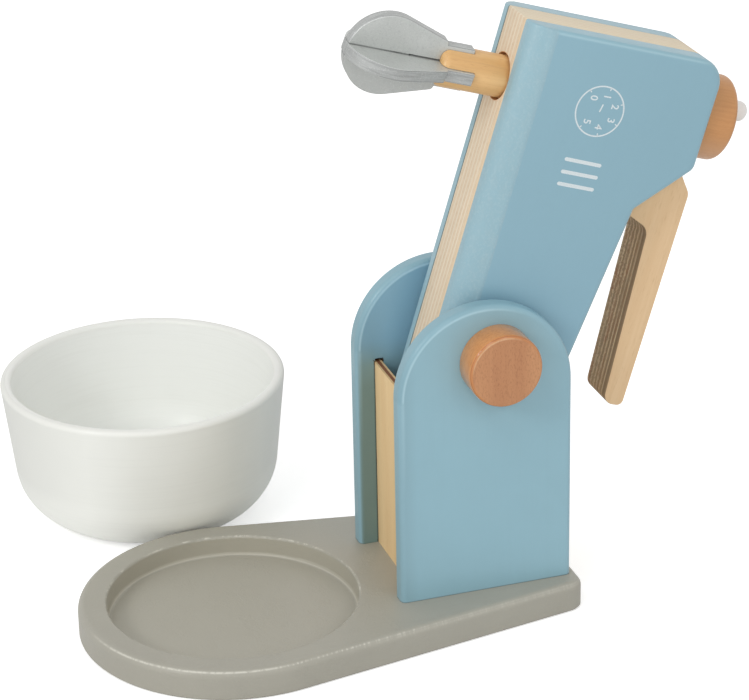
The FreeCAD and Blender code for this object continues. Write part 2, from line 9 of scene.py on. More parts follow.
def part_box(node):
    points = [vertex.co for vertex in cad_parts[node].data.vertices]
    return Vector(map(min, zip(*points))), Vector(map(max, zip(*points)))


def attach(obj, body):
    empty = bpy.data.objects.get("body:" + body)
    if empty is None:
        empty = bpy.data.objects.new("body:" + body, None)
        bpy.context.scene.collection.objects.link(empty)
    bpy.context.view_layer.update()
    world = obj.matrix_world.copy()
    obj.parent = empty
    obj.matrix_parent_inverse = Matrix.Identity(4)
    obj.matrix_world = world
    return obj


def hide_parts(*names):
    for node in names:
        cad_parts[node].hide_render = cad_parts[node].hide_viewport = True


# Wooden toy stand mixer: grey base with a round recess, blue column and tilting head with a plywood core,
# whisk of two silver plates, turning knob with a crank peg, and a loose white bowl. Lengths are in metres.

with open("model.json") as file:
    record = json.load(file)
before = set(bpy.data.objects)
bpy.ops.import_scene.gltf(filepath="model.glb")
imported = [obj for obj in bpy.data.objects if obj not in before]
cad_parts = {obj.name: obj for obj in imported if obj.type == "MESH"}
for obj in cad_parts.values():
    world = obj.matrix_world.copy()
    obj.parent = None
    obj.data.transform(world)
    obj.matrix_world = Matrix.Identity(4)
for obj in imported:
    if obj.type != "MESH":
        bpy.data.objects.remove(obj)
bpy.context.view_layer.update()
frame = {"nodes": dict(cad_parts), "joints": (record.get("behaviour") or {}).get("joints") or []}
NODES = frame["nodes"]
MM = 0.001
CLOSE = 0.01 * MM
QUARTER = math.radians(90)

# ---- camera, as given, and places worked out from the frame
CAMERA_AIM = Vector((66.95, 22.80, 95.47)) * MM
CAMERA_AZIMUTH = math.radians(-17.79)
CAMERA_ELEVATION = math.radians(23.82)
CAMERA_ROLL = math.radians(-1.21)
CAMERA_DISTANCE = 1.1137
CAMERA_LENS = 137.7

HINGES = {joint["name"]: joint for joint in frame["joints"]}
PIVOT = Vector(HINGES["head_tilt"]["pos_m"])
WHISK_AXIS = Vector(HINGES["whisk_spin"]["axis"])
HEAD_TILT = math.atan2(WHISK_AXIS.z, -WHISK_AXIS.x)
WHISK_SPIN = math.radians(11.0)
HEAD_FRAME = Matrix.Translation(PIVOT) @ Matrix.Rotation(HEAD_TILT, 4, "Y")
COVER_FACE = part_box("head_cover_right")[0].y
BOWL_LOW, BOWL_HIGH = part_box("bowl")
BOWL_CENTRE = ((BOWL_LOW.x + BOWL_HIGH.x) / 2, (BOWL_LOW.y + BOWL_HIGH.y) / 2, BOWL_LOW.z)


# ---- modelling by hand
def put_down():
    """Nothing stays selected, so that the next operator acts on the new piece alone."""
    bpy.ops.object.select_all(action="DESELECT")


def use(piece):
    put_down()
    piece.select_set(True)
    bpy.context.view_layer.objects.active = piece


def settle():
    """Lays the newest piece's place and turn down in its mesh."""
    bpy.ops.object.transform_apply(location=True, rotation=True, scale=True)
    return bpy.context.object


def open_up(name):
    """Names the newest primitive, settles it and opens it for editing."""
    piece = settle()
    piece.name = piece.data.name = name
    bpy.ops.object.mode_set(mode="EDIT")
    return piece


def pick_all():
    bpy.ops.mesh.select_all(action="SELECT")


def close_up(piece):
    """Merges doubles, turns all faces outwards and leaves edit mode."""
    pick_all()
    bpy.ops.mesh.remove_doubles(threshold=0.001 * MM)
    bpy.ops.mesh.normals_make_consistent(inside=False)
    bpy.ops.object.mode_set(mode="OBJECT")
    return piece


def pick(piece, kind, wanted):
    """Selects, in edit mode, just the VERT, EDGE or FACE items that the test wanted accepts."""
    bpy.ops.mesh.select_mode(type=kind)
    bpy.ops.mesh.select_all(action="DESELECT")
    mesh = bmesh.from_edit_mesh(piece.data)
    items = {"VERT": mesh.verts, "EDGE": mesh.edges, "FACE": mesh.faces}[kind]
    for item in items:
        if wanted(item):
            item.select_set(True)
    mesh.select_flush_mode()
    bmesh.update_edit_mesh(piece.data)


def facing(face, x=0, y=0, z=0):
    return face.normal.dot(Vector((x, y, z))) > 0.9


def pick_side(piece, x=0, y=0, z=0):
    """Selects the faces that look that way."""
    pick(piece, "FACE", lambda face: facing(face, x, y, z))


def drag(step):
    bpy.ops.transform.translate(value=step)


def pull(step):
    bpy.ops.mesh.extrude_region_move(TRANSFORM_OT_translate={"value": step})


def round_off(width, steps):
    bpy.ops.mesh.bevel(offset=width, segments=steps, profile=0.5, affect="EDGES")


def at(vertex, x, z, slack=0.2 * MM):
    return abs(vertex.co.x - x) < slack and abs(vertex.co.z - z) < slack


def move_corner(piece, old, new):
    """Drags one corner of an outline, right across the piece, to another place."""
    pick(piece, "VERT", lambda vertex: at(vertex, *old))
    drag((new[0] - old[0], 0, new[1] - old[1]))


def stands_at(edge, x, z):
    """True for an edge that runs across the piece at that corner of its outline."""
    return all(at(vertex, x, z) for vertex in edge.verts)


def lies_at(edge, axis, amount, slack=CLOSE):
    """True for an edge that lies at that distance along the axis."""
    return all(abs(vertex.co[axis] - amount) < slack for vertex in edge.verts)


def round_corners(piece, outline, radii, steps=8):
    """Rounds the chosen corners of an outline, given as (x, z) places in the piece's own plane."""
    for index, radius in radii.items():
        corner = Vector(outline[index])
        before, after = Vector(outline[index - 1]), Vector(outline[(index + 1) % len(outline)])
        reach = radius / math.tan((before - corner).angle(after - corner) / 2)
        pick(piece, "EDGE", lambda edge: stands_at(edge, *corner))
        round_off(reach, steps)


def cut_away(piece, cutter, operation="DIFFERENCE"):
    """Takes the cutter's shape out of the piece, or keeps what lies inside it, and throws the cutter away."""
    taking = piece.modifiers.new("cut", "BOOLEAN")
    taking.operation = operation
    taking.solver = "EXACT"
    taking.object = cutter
    use(piece)
    bpy.ops.object.modifier_apply(modifier=taking.name)
    bpy.data.objects.remove(cutter)


def ease_edges(piece, width, steps=2, least=50.0):
    """A small round on every edge that is sharper than the least angle."""
    easing = piece.modifiers.new("eased", "BEVEL")
    easing.width = width
    easing.segments = steps
    easing.limit_method = "ANGLE"
    easing.angle_limit = math.radians(least)
    use(piece)
    bpy.ops.object.modifier_apply(modifier=easing.name)


def cylinder(radius, depth, sides, place=(0, 0, 0), turn=(0, 0, 0)):
    put_down()
    bpy.ops.mesh.primitive_cylinder_add(
        vertices=sides, radius=radius, depth=depth, location=place, rotation=turn)


def circle(radius, sides, place=(0, 0, 0)):
    """A wire ring that faces along Y."""
    put_down()
    bpy.ops.mesh.primitive_circle_add(
        vertices=sides, radius=radius, fill_type="NOTHING", location=place, rotation=(QUARTER, 0, 0))


def rod(radius, start, end, sides=96, across=(0.0, 0.0)):
    """A cylinder along X from start to end."""
    cylinder(radius, end - start, sides, ((start + end) / 2, *across), (0, QUARTER, 0))
    return settle()


def cross_rod(radius, start, end, sides=96):
    """A cylinder along Y, from start to end, round the pivot of an upright head."""
    cylinder(radius, abs(end - start), sides, (0, (start + end) / 2, 0), (QUARTER, 0, 0))
    return settle()


def block(low, high):
    """A box between two corners."""
    put_down()
    low, high = Vector(low), Vector(high)
    bpy.ops.mesh.primitive_cube_add(size=1.0, location=(low + high) / 2, scale=high - low)
    return settle()


def set_in_place(piece, place):
    """Moves a finished piece from its own upright frame to where it sits, into its mesh."""
    use(piece)
    piece.matrix_world = place
    return settle()


def dress(piece, finish, body, node=None, smooth=32.0):
    """Gives a finished piece its material and its body, and hides the CAD node that it stands for."""
    use(piece)
    bpy.ops.object.shade_smooth_by_angle(angle=math.radians(smooth), keep_sharp_edges=True)
    piece.data.materials.clear()
    piece.data.materials.append(finish)
    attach(piece, body)
    if node:
        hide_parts(node)
    return piece


# ---- head core and handle
HEAD_FRONT = -17.8 * MM
HEAD_REAR = 62.4 * MM
HEAD_TOP = 124.8 * MM
HEAD_FOOT = -26.2 * MM
HEEL = 32.1 * MM
GAP_TOP = (42.598 * MM, 60.0 * MM)
GRIP_TOP = (56.3 * MM, 54.1 * MM)
GRIP_FOOT = (60.4 * MM, -18.4 * MM)
HANDLE_REAR = 68.8 * MM
HANDLE_TOP = 70.6 * MM
HANDLE_ROOT = 78.8 * MM
CORE_HALF = 9.2 * MM
CORE_OUTLINE = [
    (HEAD_FRONT, HEAD_FOOT), (HEEL, HEAD_FOOT), GAP_TOP, GRIP_TOP, GRIP_FOOT, (HANDLE_REAR, GRIP_FOOT[1]),
    (HANDLE_REAR, HANDLE_TOP), (HEAD_REAR, HANDLE_ROOT), (HEAD_REAR, HEAD_TOP), (HEAD_FRONT, HEAD_TOP)]
CORE_ROUNDS = {1: 4.0 * MM, 2: 2.5 * MM, 3: 5.0 * MM, 4: 4.5 * MM, 5: 2.5 * MM, 6: 4.0 * MM, 7: 4.0 * MM,
               8: 10.0 * MM, 9: 0.7 * MM}
PIVOT_BORE = 6.06 * MM
WHISK_RISE = 99.8 * MM
WHISK_FRAME = HEAD_FRAME @ Matrix.Translation((0, 0, WHISK_RISE)) @ Matrix.Rotation(WHISK_SPIN, 4, "X")
NOSE_RADIUS = 8.0 * MM
TAIL_RADIUS = 4.0 * MM
SHAFT_STEP = 2.0 * MM
RUNNING_GAP = 0.06 * MM
MOUTH_GAP = 1.05 * MM
MOUTH_DEPTH = 3.0 * MM


def head_core_shape():
    """The plywood middle of the head: a block, with its lower part and the handle pulled out of it."""
    block((HEAD_FRONT, -CORE_HALF, GAP_TOP[1]), (HEAD_REAR, CORE_HALF, HEAD_TOP))
    core = open_up("head_core_plywood")
    for place, normal in (((GAP_TOP[0], 0, 0), (1, 0, 0)), ((GRIP_TOP[0], 0, 0), (1, 0, 0)),
                          ((0, 0, HANDLE_ROOT), (0, 0, 1))):
        pick_all()
        bpy.ops.mesh.bisect(plane_co=place, plane_no=normal)
    # the shoulder behind the head, which the handle hangs from
    pick(core, "FACE", lambda f: facing(f, x=1) and f.calc_center_median().z < HANDLE_ROOT)
    pull((HANDLE_REAR - HEAD_REAR, 0, 0))
    move_corner(core, (HANDLE_REAR, HANDLE_ROOT), (HANDLE_REAR, HANDLE_TOP))
    # the head's lower part, whose rear edge leans forward to the heel
    pick(core, "FACE", lambda f: facing(f, z=-1) and f.calc_center_median().x < GAP_TOP[0])
    pull((0, 0, HEAD_FOOT - GAP_TOP[1]))
    move_corner(core, (GAP_TOP[0], HEAD_FOOT), (HEEL, HEAD_FOOT))
    # the handle, pulled down from under the shoulder, then leaned back at its foot
    move_corner(core, (GRIP_TOP[0], GAP_TOP[1]), GRIP_TOP)
    pick(core, "FACE", lambda f: f.normal.z < -0.5 and f.calc_center_median().x > GRIP_TOP[0])
    pull((0, 0, GRIP_FOOT[1] - GAP_TOP[1]))
    move_corner(core, (GRIP_TOP[0], GRIP_TOP[1] + GRIP_FOOT[1] - GAP_TOP[1]), GRIP_FOOT)
    pick_all()
    bpy.ops.mesh.dissolve_limited(angle_limit=math.radians(0.5))
    round_corners(core, CORE_OUTLINE, CORE_ROUNDS)
    close_up(core)
    ease_edges(core, 0.4 * MM)
    cut_away(core, cross_rod(PIVOT_BORE, -CORE_HALF * 2, CORE_HALF * 2))
    for radius, start, end in ((NOSE_RADIUS + MOUTH_GAP, HEAD_FRONT * 2, HEAD_FRONT + MOUTH_DEPTH),
                               (NOSE_RADIUS + RUNNING_GAP, HEAD_FRONT * 2, SHAFT_STEP + RUNNING_GAP),
                               (TAIL_RADIUS + RUNNING_GAP, HEAD_FRONT, HEAD_REAR * 2)):
        cut_away(core, rod(radius, start, end, 72, (0.0, WHISK_RISE)))
    return set_in_place(core, HEAD_FRAME)


# ---- painted covers of the head
WAIST = (43.0 * MM, 63.3 * MM)
SHOULDER = (HEAD_REAR, 82.7 * MM)
COVER_HALF = 19.5 * MM
FRONT_ROUND = 9.6 * MM
FRONT_FLAT = 2.2 * MM
FRONT_ARRIS = 0.9 * MM
FRONT_ELLIPSE = (14.59 * MM, 8.62 * MM)
EDGE_ROUND = 2.3 * MM
COVER_OUTLINE = [
    (HEAD_FRONT, HEAD_FOOT), (HEEL, HEAD_FOOT), WAIST, SHOULDER,
    (HEAD_REAR, HEAD_TOP), (HEAD_FRONT, HEAD_TOP)]
COVER_ROUNDS = {1: 4.0 * MM, 2: 1.3 * MM, 3: 4.0 * MM, 4: 10.0 * MM}


def draw_in_round(radius, steps):
    """Draws the chosen face out and in along a quarter circle, which rounds its whole outline."""
    turns = [QUARTER * step / steps for step in range(steps + 1)]
    for before, after in zip(turns, turns[1:]):
        bpy.ops.mesh.inset(thickness=radius * (math.cos(before) - math.cos(after)),
                           depth=radius * (math.sin(after) - math.sin(before)))


def cover_shape(name, side):
    """One painted half of the head; side is -1 for the right cover and 1 for the left."""
    inner, outer = CORE_HALF * side, COVER_HALF * side
    low, high = sorted((inner, outer - EDGE_ROUND * side))
    block((HEAD_FRONT - 1 * MM, low, WAIST[1]), (HEAD_REAR, high, HEAD_TOP))
    cover = open_up(name)
    slope = Vector((SHOULDER[1] - WAIST[1], 0, WAIST[0] - SHOULDER[0]))
    pick_all()
    bpy.ops.mesh.bisect(plane_co=(WAIST[0], 0, WAIST[1]), plane_no=slope, use_fill=True, clear_outer=True)
    pick_side(cover, z=-1)
    pull((0, 0, HEAD_FOOT - WAIST[1]))
    move_corner(cover, (WAIST[0], HEAD_FOOT), (HEEL, HEAD_FOOT))
    round_corners(cover, COVER_OUTLINE, COVER_ROUNDS)
    pick_side(cover, y=side)
    bpy.ops.mesh.dissolve_faces()
    draw_in_round(EDGE_ROUND, 7)
    close_up(cover)

    # the broad front round comes last and cuts the edge round off at both its ends: a quarter of an ellipse
    # that starts a little outside the joint and passes the outer face, so that it meets the face in a crease
    depth, breadth = FRONT_ELLIPSE
    start = inner + FRONT_FLAT * side
    low, high = sorted((start - 2 * depth * side, start + depth * side))
    over, past = 0.02 * MM, 5 * MM
    block((HEAD_FRONT, low, HEAD_FOOT - over), (HEAD_REAR + past, high, HEAD_TOP + over))
    envelope = open_up("front_round")
    pick(envelope, "EDGE", lambda e: lies_at(e, 0, HEAD_FRONT) and lies_at(e, 1, start + depth * side))
    round_off(depth, 24)
    pick_all()
    bpy.ops.transform.resize(value=(1, breadth / depth, 1), center_override=(0, start, 0))
    pick(envelope, "EDGE", lambda e: abs(e.verts[0].co.z - e.verts[1].co.z) < CLOSE)
    round_off(FRONT_ARRIS, 4)
    close_up(envelope)
    cut_away(cover, envelope, "INTERSECT")
    bpy.ops.object.mode_set(mode="EDIT")
    pick(cover, "EDGE", lambda e: lies_at(e, 0, HEAD_FRONT + FRONT_ROUND, 0.3 * MM) and lies_at(e, 1, outer))
    bpy.ops.mesh.mark_sharp()
    bpy.ops.object.mode_set(mode="OBJECT")
    cut_away(cover, cross_rod(PIVOT_BORE, inner / 2, outer * 1.5))
    return set_in_place(cover, HEAD_FRAME)


# ---- pivot caps, knob and peg
CAP_INNER = 30.0 * MM
CAP_OUTER = 42.0 * MM
CAP_RADIUS = 14.4 * MM
CAP_ARRIS = 1.3 * MM
ROD_SOCKET = 6.05 * MM
SOCKET_DEPTH = 8.0 * MM
ROD_DOME = 3.0 * MM
KNOB_INNER = 62.8 * MM
KNOB_OUTER = 75.8 * MM
KNOB_RADIUS = 16.5 * MM
KNOB_ARRIS = 2.5 * MM
KNOB_HEEL = 0.8 * MM
GLUE_GAP = 0.05 * MM
PEG_RADIUS = 4.0 * MM
PEG_OFFSET = 10.0 * MM
PEG_START = 70.8 * MM
PEG_END = 91.8 * MM
PEG_LINE = 0.4 * MM
PEG_CROWN = 0.12 * MM


def rim(edge, axis, amount, radius):
    """True for an edge of a round face that lies at that distance along the axis."""
    along = Vector([index == axis for index in range(3)])
    return lies_at(edge, axis, amount) and all(
        abs(v.co.cross(along).length - radius) < 0.1 * MM for v in edge.verts)


def cap_shape(name, side):
    """A turned cap over the pivot rod's end: a disc with a rounded rim and a blind socket behind."""
    cross_rod(CAP_RADIUS, CAP_INNER * side, CAP_OUTER * side, 128)
    cap = open_up(name)
    pick_side(cap, y=-side)
    bpy.ops.mesh.inset(thickness=CAP_RADIUS - ROD_SOCKET)
    pull((0, SOCKET_DEPTH * side, 0))
    pick(cap, "EDGE", lambda e: rim(e, 1, CAP_OUTER * side, CAP_RADIUS))
    round_off(CAP_ARRIS, 7)
    close_up(cap)
    ease_edges(cap, 0.25 * MM)
    return set_in_place(cap, Matrix.Translation(PIVOT))


def knob_shape():
    """The turning knob at the rear of the head: a turned disc, bored for the whisk's tail and the peg."""
    rod(KNOB_RADIUS, KNOB_INNER, KNOB_OUTER, 128)
    knob = open_up("turning_knob_beech")
    pick(knob, "EDGE", lambda e: rim(e, 0, KNOB_OUTER, KNOB_RADIUS))
    round_off(KNOB_ARRIS, 9)
    pick(knob, "EDGE", lambda e: rim(e, 0, KNOB_INNER, KNOB_RADIUS))
    round_off(KNOB_HEEL, 3)
    pick_side(knob, x=-1)
    bpy.ops.mesh.inset(thickness=KNOB_RADIUS - KNOB_HEEL - TAIL_RADIUS - GLUE_GAP)
    pull((SOCKET_DEPTH, 0, 0))
    close_up(knob)
    cut_away(knob, rod(PEG_RADIUS + RUNNING_GAP, PEG_START, KNOB_OUTER * 2, 64, (PEG_OFFSET, 0.0)))
    ease_edges(knob, 0.2 * MM)
    return set_in_place(knob, WHISK_FRAME)


def peg_shape():
    """The crank peg: a short rod with a domed end and a fine turned line before the dome."""
    rod(PEG_RADIUS, PEG_START, PEG_END, 64, (PEG_OFFSET, 0.0))
    peg = open_up("crank_peg_white")
    pick(peg, "EDGE", lambda e: lies_at(e, 0, PEG_END))
    round_off(ROD_DOME, 10)
    pick_side(peg, x=1)
    bpy.ops.mesh.inset(thickness=PEG_LINE)
    drag((PEG_CROWN, 0, 0))
    close_up(peg)
    ease_edges(peg, 0.2 * MM)
    return set_in_place(peg, WHISK_FRAME)


# ---- whisk
BLADE_HALF = 2.35 * MM
BLADE_CENTRE = -64.2 * MM
BLADE_RADIUS = 16.0 * MM
BLADE_NECK = -42.4 * MM
BLADE_SHIFT = 0.5 * MM
NECK_HALF = 9.9 * MM
TAB_HALF = 8.5 * MM
TAB_END = -31.3 * MM
BLADE_CROSSING = -55.6 * MM
SHAFT_FRONT = -43.8 * MM
SHAFT_END = 70.75 * MM
LAP_GAP = 0.28 * MM
SLOT_GAP = 0.16 * MM
SLOT_END_GAP = 0.25 * MM
FAR_AHEAD = -100 * MM


def blade_shape(name, slot_from_tip, turn):
    """A balloon-shaped plate with a tab: a ring, opened and drawn on to the neck and tab, then thickened."""
    circle(BLADE_RADIUS, 180, (BLADE_CENTRE, 0, BLADE_SHIFT))
    blade = open_up(name)
    ahead = BLADE_NECK - BLADE_CENTRE
    touch = math.atan2(NECK_HALF, ahead) + math.acos(BLADE_RADIUS / math.hypot(ahead, NECK_HALF))
    reach = BLADE_RADIUS * math.cos(touch)
    pick(blade, "VERT", lambda v: v.co.x - BLADE_CENTRE > reach + CLOSE)
    bpy.ops.mesh.delete(type="VERT")
    ring = [vertex.co for vertex in bmesh.from_edit_mesh(blade.data).verts]
    top = max((co.x, co.z) for co in ring if co.z > BLADE_SHIFT)
    low = max((co.x, -co.z) for co in ring if co.z < BLADE_SHIFT)
    outline = [(BLADE_NECK, NECK_HALF), (BLADE_NECK, TAB_HALF), (TAB_END, TAB_HALF)]
    path = ([top] + [(x, BLADE_SHIFT + z) for x, z in outline]
            + [(x, BLADE_SHIFT - z) for x, z in reversed(outline)] + [(low[0], -low[1])])
    pick(blade, "VERT", lambda v: at(v, *path[0], 0.05 * MM))
    for start, end in zip(path, path[1:]):
        pull((end[0] - start[0], 0, end[1] - start[1]))
    pick_all()
    bpy.ops.mesh.remove_doubles(threshold=0.02 * MM)
    bpy.ops.mesh.edge_face_add()
    drag((0, -BLADE_HALF, 0))
    pull((0, BLADE_HALF * 2, 0))
    for side in (1, -1):
        pick(blade, "EDGE", lambda e: stands_at(e, BLADE_NECK, BLADE_SHIFT + NECK_HALF * side))
        round_off(0.9 * MM, 5)
    close_up(blade)
    half = BLADE_HALF + LAP_GAP
    start, end = (FAR_AHEAD, BLADE_CROSSING + LAP_GAP) if slot_from_tip else (BLADE_CROSSING - LAP_GAP, 0.0)
    cut_away(blade, block((start, -half * 2, -half), (end, half * 2, half)))
    ease_edges(blade, 0.28 * MM, 1, 40.0)
    return set_in_place(blade, WHISK_FRAME @ Matrix.Rotation(turn, 4, "X"))


def shaft_shape():
    """The whisk's shaft: a stout round nose with a cross slot, and a thin tail pulled out behind it."""
    rod(NOSE_RADIUS, SHAFT_FRONT, SHAFT_STEP)
    shaft = open_up("whisk_dowel")
    pick_side(shaft, x=1)
    bpy.ops.mesh.inset(thickness=NOSE_RADIUS - TAIL_RADIUS)
    pull((SHAFT_END - SHAFT_STEP, 0, 0))
    pick(shaft, "EDGE", lambda e: lies_at(e, 0, SHAFT_FRONT))
    round_off(ROD_DOME, 10)
    close_up(shaft)
    half, wide = BLADE_HALF + SLOT_GAP, NOSE_RADIUS * 2.5
    for y, z in ((wide, half), (half, wide)):
        cut_away(shaft, block((FAR_AHEAD, -y, -z), (TAB_END + SLOT_END_GAP, y, z)))
    ease_edges(shaft, 0.25 * MM, 2, 60.0)
    return set_in_place(shaft, WHISK_FRAME)


# ---- print on the right side of the head
PRINT_DEPTH = 0.05 * MM
PRINT_FACE = COVER_FACE - 0.005 * MM
STRIPES = ((9.2, 78.2, 23.2, 77.9), (9.2, 73.3, 23.2, 73.1), (9.1, 68.5, 23.1, 68.3))
STRIPE_HALF = 0.72 * MM
DIAL_CENTRE = (16.6 * MM, 98.2 * MM)
DIAL_RADIUS = 9.9 * MM
DIAL_LINE = 0.55 * MM
TICK_LENGTH = 1.0 * MM
TICK_REACH = 1.2 * MM
POINTER_LENGTH = 3.2 * MM
DIAL_TEXT = 4.1 * MM
DIAL_TEXT_REACH = DIAL_RADIUS * 0.61
DIAL_NUMBERS = "012345"
DIAL_STEP = math.radians(52.0)


def bar_shape(name, half_width, length):
    """One printed bar with round ends: a thin disc, its one half pulled away from the other."""
    cylinder(half_width, PRINT_DEPTH, 32, turn=(QUARTER, 0, 0))
    bar = open_up(name)
    pick(bar, "VERT", lambda v: v.co.x > 0.001 * MM)
    drag((length - half_width * 2, 0, 0))
    return close_up(bar)


def row(pattern, name, numbers):
    """The pattern and its numbered copies, each with a mesh of its own."""
    pieces = [pattern]
    for number in numbers:
        twin = pattern.copy()
        twin.data = pattern.data.copy()
        twin.name = twin.data.name = name % number
        bpy.context.scene.collection.objects.link(twin)
        pieces.append(twin)
    return pieces


def print_frame(x, z, turn=0.0):
    """The place of a printed piece on the upright head's right face."""
    return HEAD_FRAME @ Matrix.Translation((x, PRINT_FACE, z)) @ Matrix.Rotation(turn, 4, "Y")


def speed_stripes():
    length = math.hypot(STRIPES[0][2] - STRIPES[0][0], STRIPES[0][3] - STRIPES[0][1]) * MM
    bars = row(bar_shape("speed_stripe_1", STRIPE_HALF, length + STRIPE_HALF * 2), "speed_stripe_%d", (2, 3))
    for bar, (near_x, near_z, far_x, far_z) in zip(bars, STRIPES):
        lean = math.atan2(near_z - far_z, far_x - near_x)
        set_in_place(bar, print_frame(near_x * MM, near_z * MM, lean))
    return bars


def dial_ring():
    """A printed ring: a circle drawn inwards into a flat band, then thickened."""
    circle(DIAL_RADIUS, 96)
    ring = open_up("dial_ring")
    pick_all()
    pull((0, 0, 0))
    shrink = (DIAL_RADIUS - DIAL_LINE) / DIAL_RADIUS
    bpy.ops.transform.resize(value=(shrink, shrink, shrink))
    pick_all()
    drag((0, -PRINT_DEPTH / 2, 0))
    pull((0, PRINT_DEPTH, 0))
    close_up(ring)
    return set_in_place(ring, print_frame(*DIAL_CENTRE))


def dial_angle(index):
    """Where a number stands round the dial; the dial reads upright when the head is lowered."""
    return QUARTER + (index - (len(DIAL_NUMBERS) - 1) / 2) * DIAL_STEP


def dial_number(index):
    put_down()
    bpy.ops.object.text_add()
    label = bpy.context.object
    label.data.body = DIAL_NUMBERS[index]
    label.data.size = DIAL_TEXT
    label.data.align_x = label.data.align_y = "CENTER"
    label.data.extrude = PRINT_DEPTH / 2
    label.data.offset = 0.06 * MM
    bpy.ops.object.convert(target="MESH")
    label = bpy.context.object
    label.name = label.data.name = "dial_number_" + DIAL_NUMBERS[index]
    around = dial_angle(index)
    # the text's right goes down the upright head and its top goes to the rear
    reading = Matrix(((0, 1, 0, 0), (0, 0, -1, 0), (-1, 0, 0, 0), (0, 0, 0, 1)))
    place = print_frame(DIAL_CENTRE[0] + DIAL_TEXT_REACH * math.sin(around),
                        DIAL_CENTRE[1] + DIAL_TEXT_REACH * math.cos(around))
    return set_in_place(label, place @ reading)


def dial_marks():
    """Short ticks between the numbers and the ring, and a pointer, all from one bar."""
    tick = bar_shape("dial_tick_0", DIAL_LINE * 0.4, TICK_LENGTH)
    pieces = row(tick, "dial_tick_%d", range(1, len(DIAL_NUMBERS)))
    for index, piece in enumerate(pieces):
        around = dial_angle(index) - QUARTER
        out = Matrix.Translation((DIAL_RADIUS - TICK_REACH, 0, 0))
        set_in_place(piece, print_frame(*DIAL_CENTRE, around) @ out)
    pointer = bar_shape("dial_pointer", DIAL_LINE * 0.5, POINTER_LENGTH)
    set_in_place(pointer, print_frame(*DIAL_CENTRE, dial_angle(1) - QUARTER))
    return pieces + [pointer]


# ---- screws under the base
SCREW_PLACES = [(x * MM, y * MM) for x in (74.75, 112.75) for y in (-26.0, 26.0)]
SCREW_LENGTH = 31.7 * MM
SCREW_SINK = 0.3 * MM
SCREW_HEAD = 3.6 * MM
SCREW_SHANK = 1.7 * MM
SCREW_RIM = 0.25 * MM
SCREW_CONE = 1.6 * MM
SCREW_POINT = 5.1 * MM


def screw_shape(name):
    """A countersunk wood screw, head down: a stepped rod with a cross recess and a drawn-out point."""
    cylinder(SCREW_HEAD, SCREW_RIM, 40, (0, 0, SCREW_SINK + SCREW_RIM / 2))
    screw = open_up(name)
    pick_side(screw, z=1)
    pull((0, 0, SCREW_CONE))
    bpy.ops.transform.resize(value=(SCREW_SHANK / SCREW_HEAD, SCREW_SHANK / SCREW_HEAD, 1))
    pull((0, 0, SCREW_LENGTH - SCREW_SINK - SCREW_CONE - SCREW_POINT))
    pull((0, 0, SCREW_POINT))
    bpy.ops.transform.resize(value=(0.1, 0.1, 1))
    close_up(screw)
    for turn in (0, 90):
        groove = block((-1.9 * MM, -0.45 * MM, -MM), (1.9 * MM, 0.45 * MM, SCREW_SINK + 1.3 * MM))
        set_in_place(groove, Matrix.Rotation(math.radians(turn), 4, "Z"))
        cut_away(screw, groove)
    return screw


def board_screws():
    screws = row(screw_shape("wood_screw_1"), "wood_screw_%d", (2, 3, 4))
    for index, (screw, (x, y)) in enumerate(zip(screws, SCREW_PLACES)):
        set_in_place(screw, Matrix.Translation((x, y, 0)) @ Matrix.Rotation(0.6 * index, 4, "Z"))
    return screws


# ---- material building blocks
def shade(red, green, blue):
    """A screen colour, 0 to 255, as the linear colour that a shader takes."""
    channels = []
    for value in (red, green, blue):
        value = min(max(value / 255.0, 0.0), 1.0)
        channels.append(value / 12.92 if value <= 0.04045 else ((value + 0.055) / 1.055) ** 2.4)
    return (*channels, 1.0)


def toned(tint, factor):
    return tuple(channel * factor for channel in tint)


class Field:
    """A value that varies over a surface; sums, products, comparisons and ramps of it add their own nodes."""

    def __init__(self, finish, socket):
        self.finish = finish
        self.socket = socket

    def maths(self, operation, *others):
        node = self.finish.add("Math", operation=operation)
        for socket, value in zip(node.inputs, (self, *others)):
            self.finish.put(socket, value)
        return Field(self.finish, node.outputs["Value"])

    def __add__(self, other):
        return self.maths("ADD", other)

    def __sub__(self, other):
        return self.maths("SUBTRACT", other)

    def __mul__(self, other):
        return self.maths("MULTIPLY", other)

    def __or__(self, other):
        """The greater of the two."""
        return self.maths("MAXIMUM", other)

    def __lt__(self, other):
        return self.maths("LESS_THAN", other)

    def __gt__(self, other):
        return self.maths("GREATER_THAN", other)

    def __abs__(self):
        return self.maths("ABSOLUTE")

    def spread(self, low, high, to_low=0.0, to_high=1.0):
        """The range from low to high, laid over another range and held inside it."""
        node = self.finish.add("MapRange")
        for name, amount in (("Value", self), ("From Min", low), ("From Max", high),
                             ("To Min", to_low), ("To Max", to_high)):
            self.finish.put(node.inputs[name], amount)
        return Field(self.finish, node.outputs["Result"])

    def ramp(self, low, high, to_low=0.0, to_high=1.0):
        """The same, from low to high in millimetres."""
        return self.spread(low * MM, high * MM, to_low, to_high)

    def band(self, middle, width):
        """1 at the middle value, falling to 0 at half the width on both sides."""
        return abs(self - middle).spread(0.0, width / 2, 1.0, 0.0)


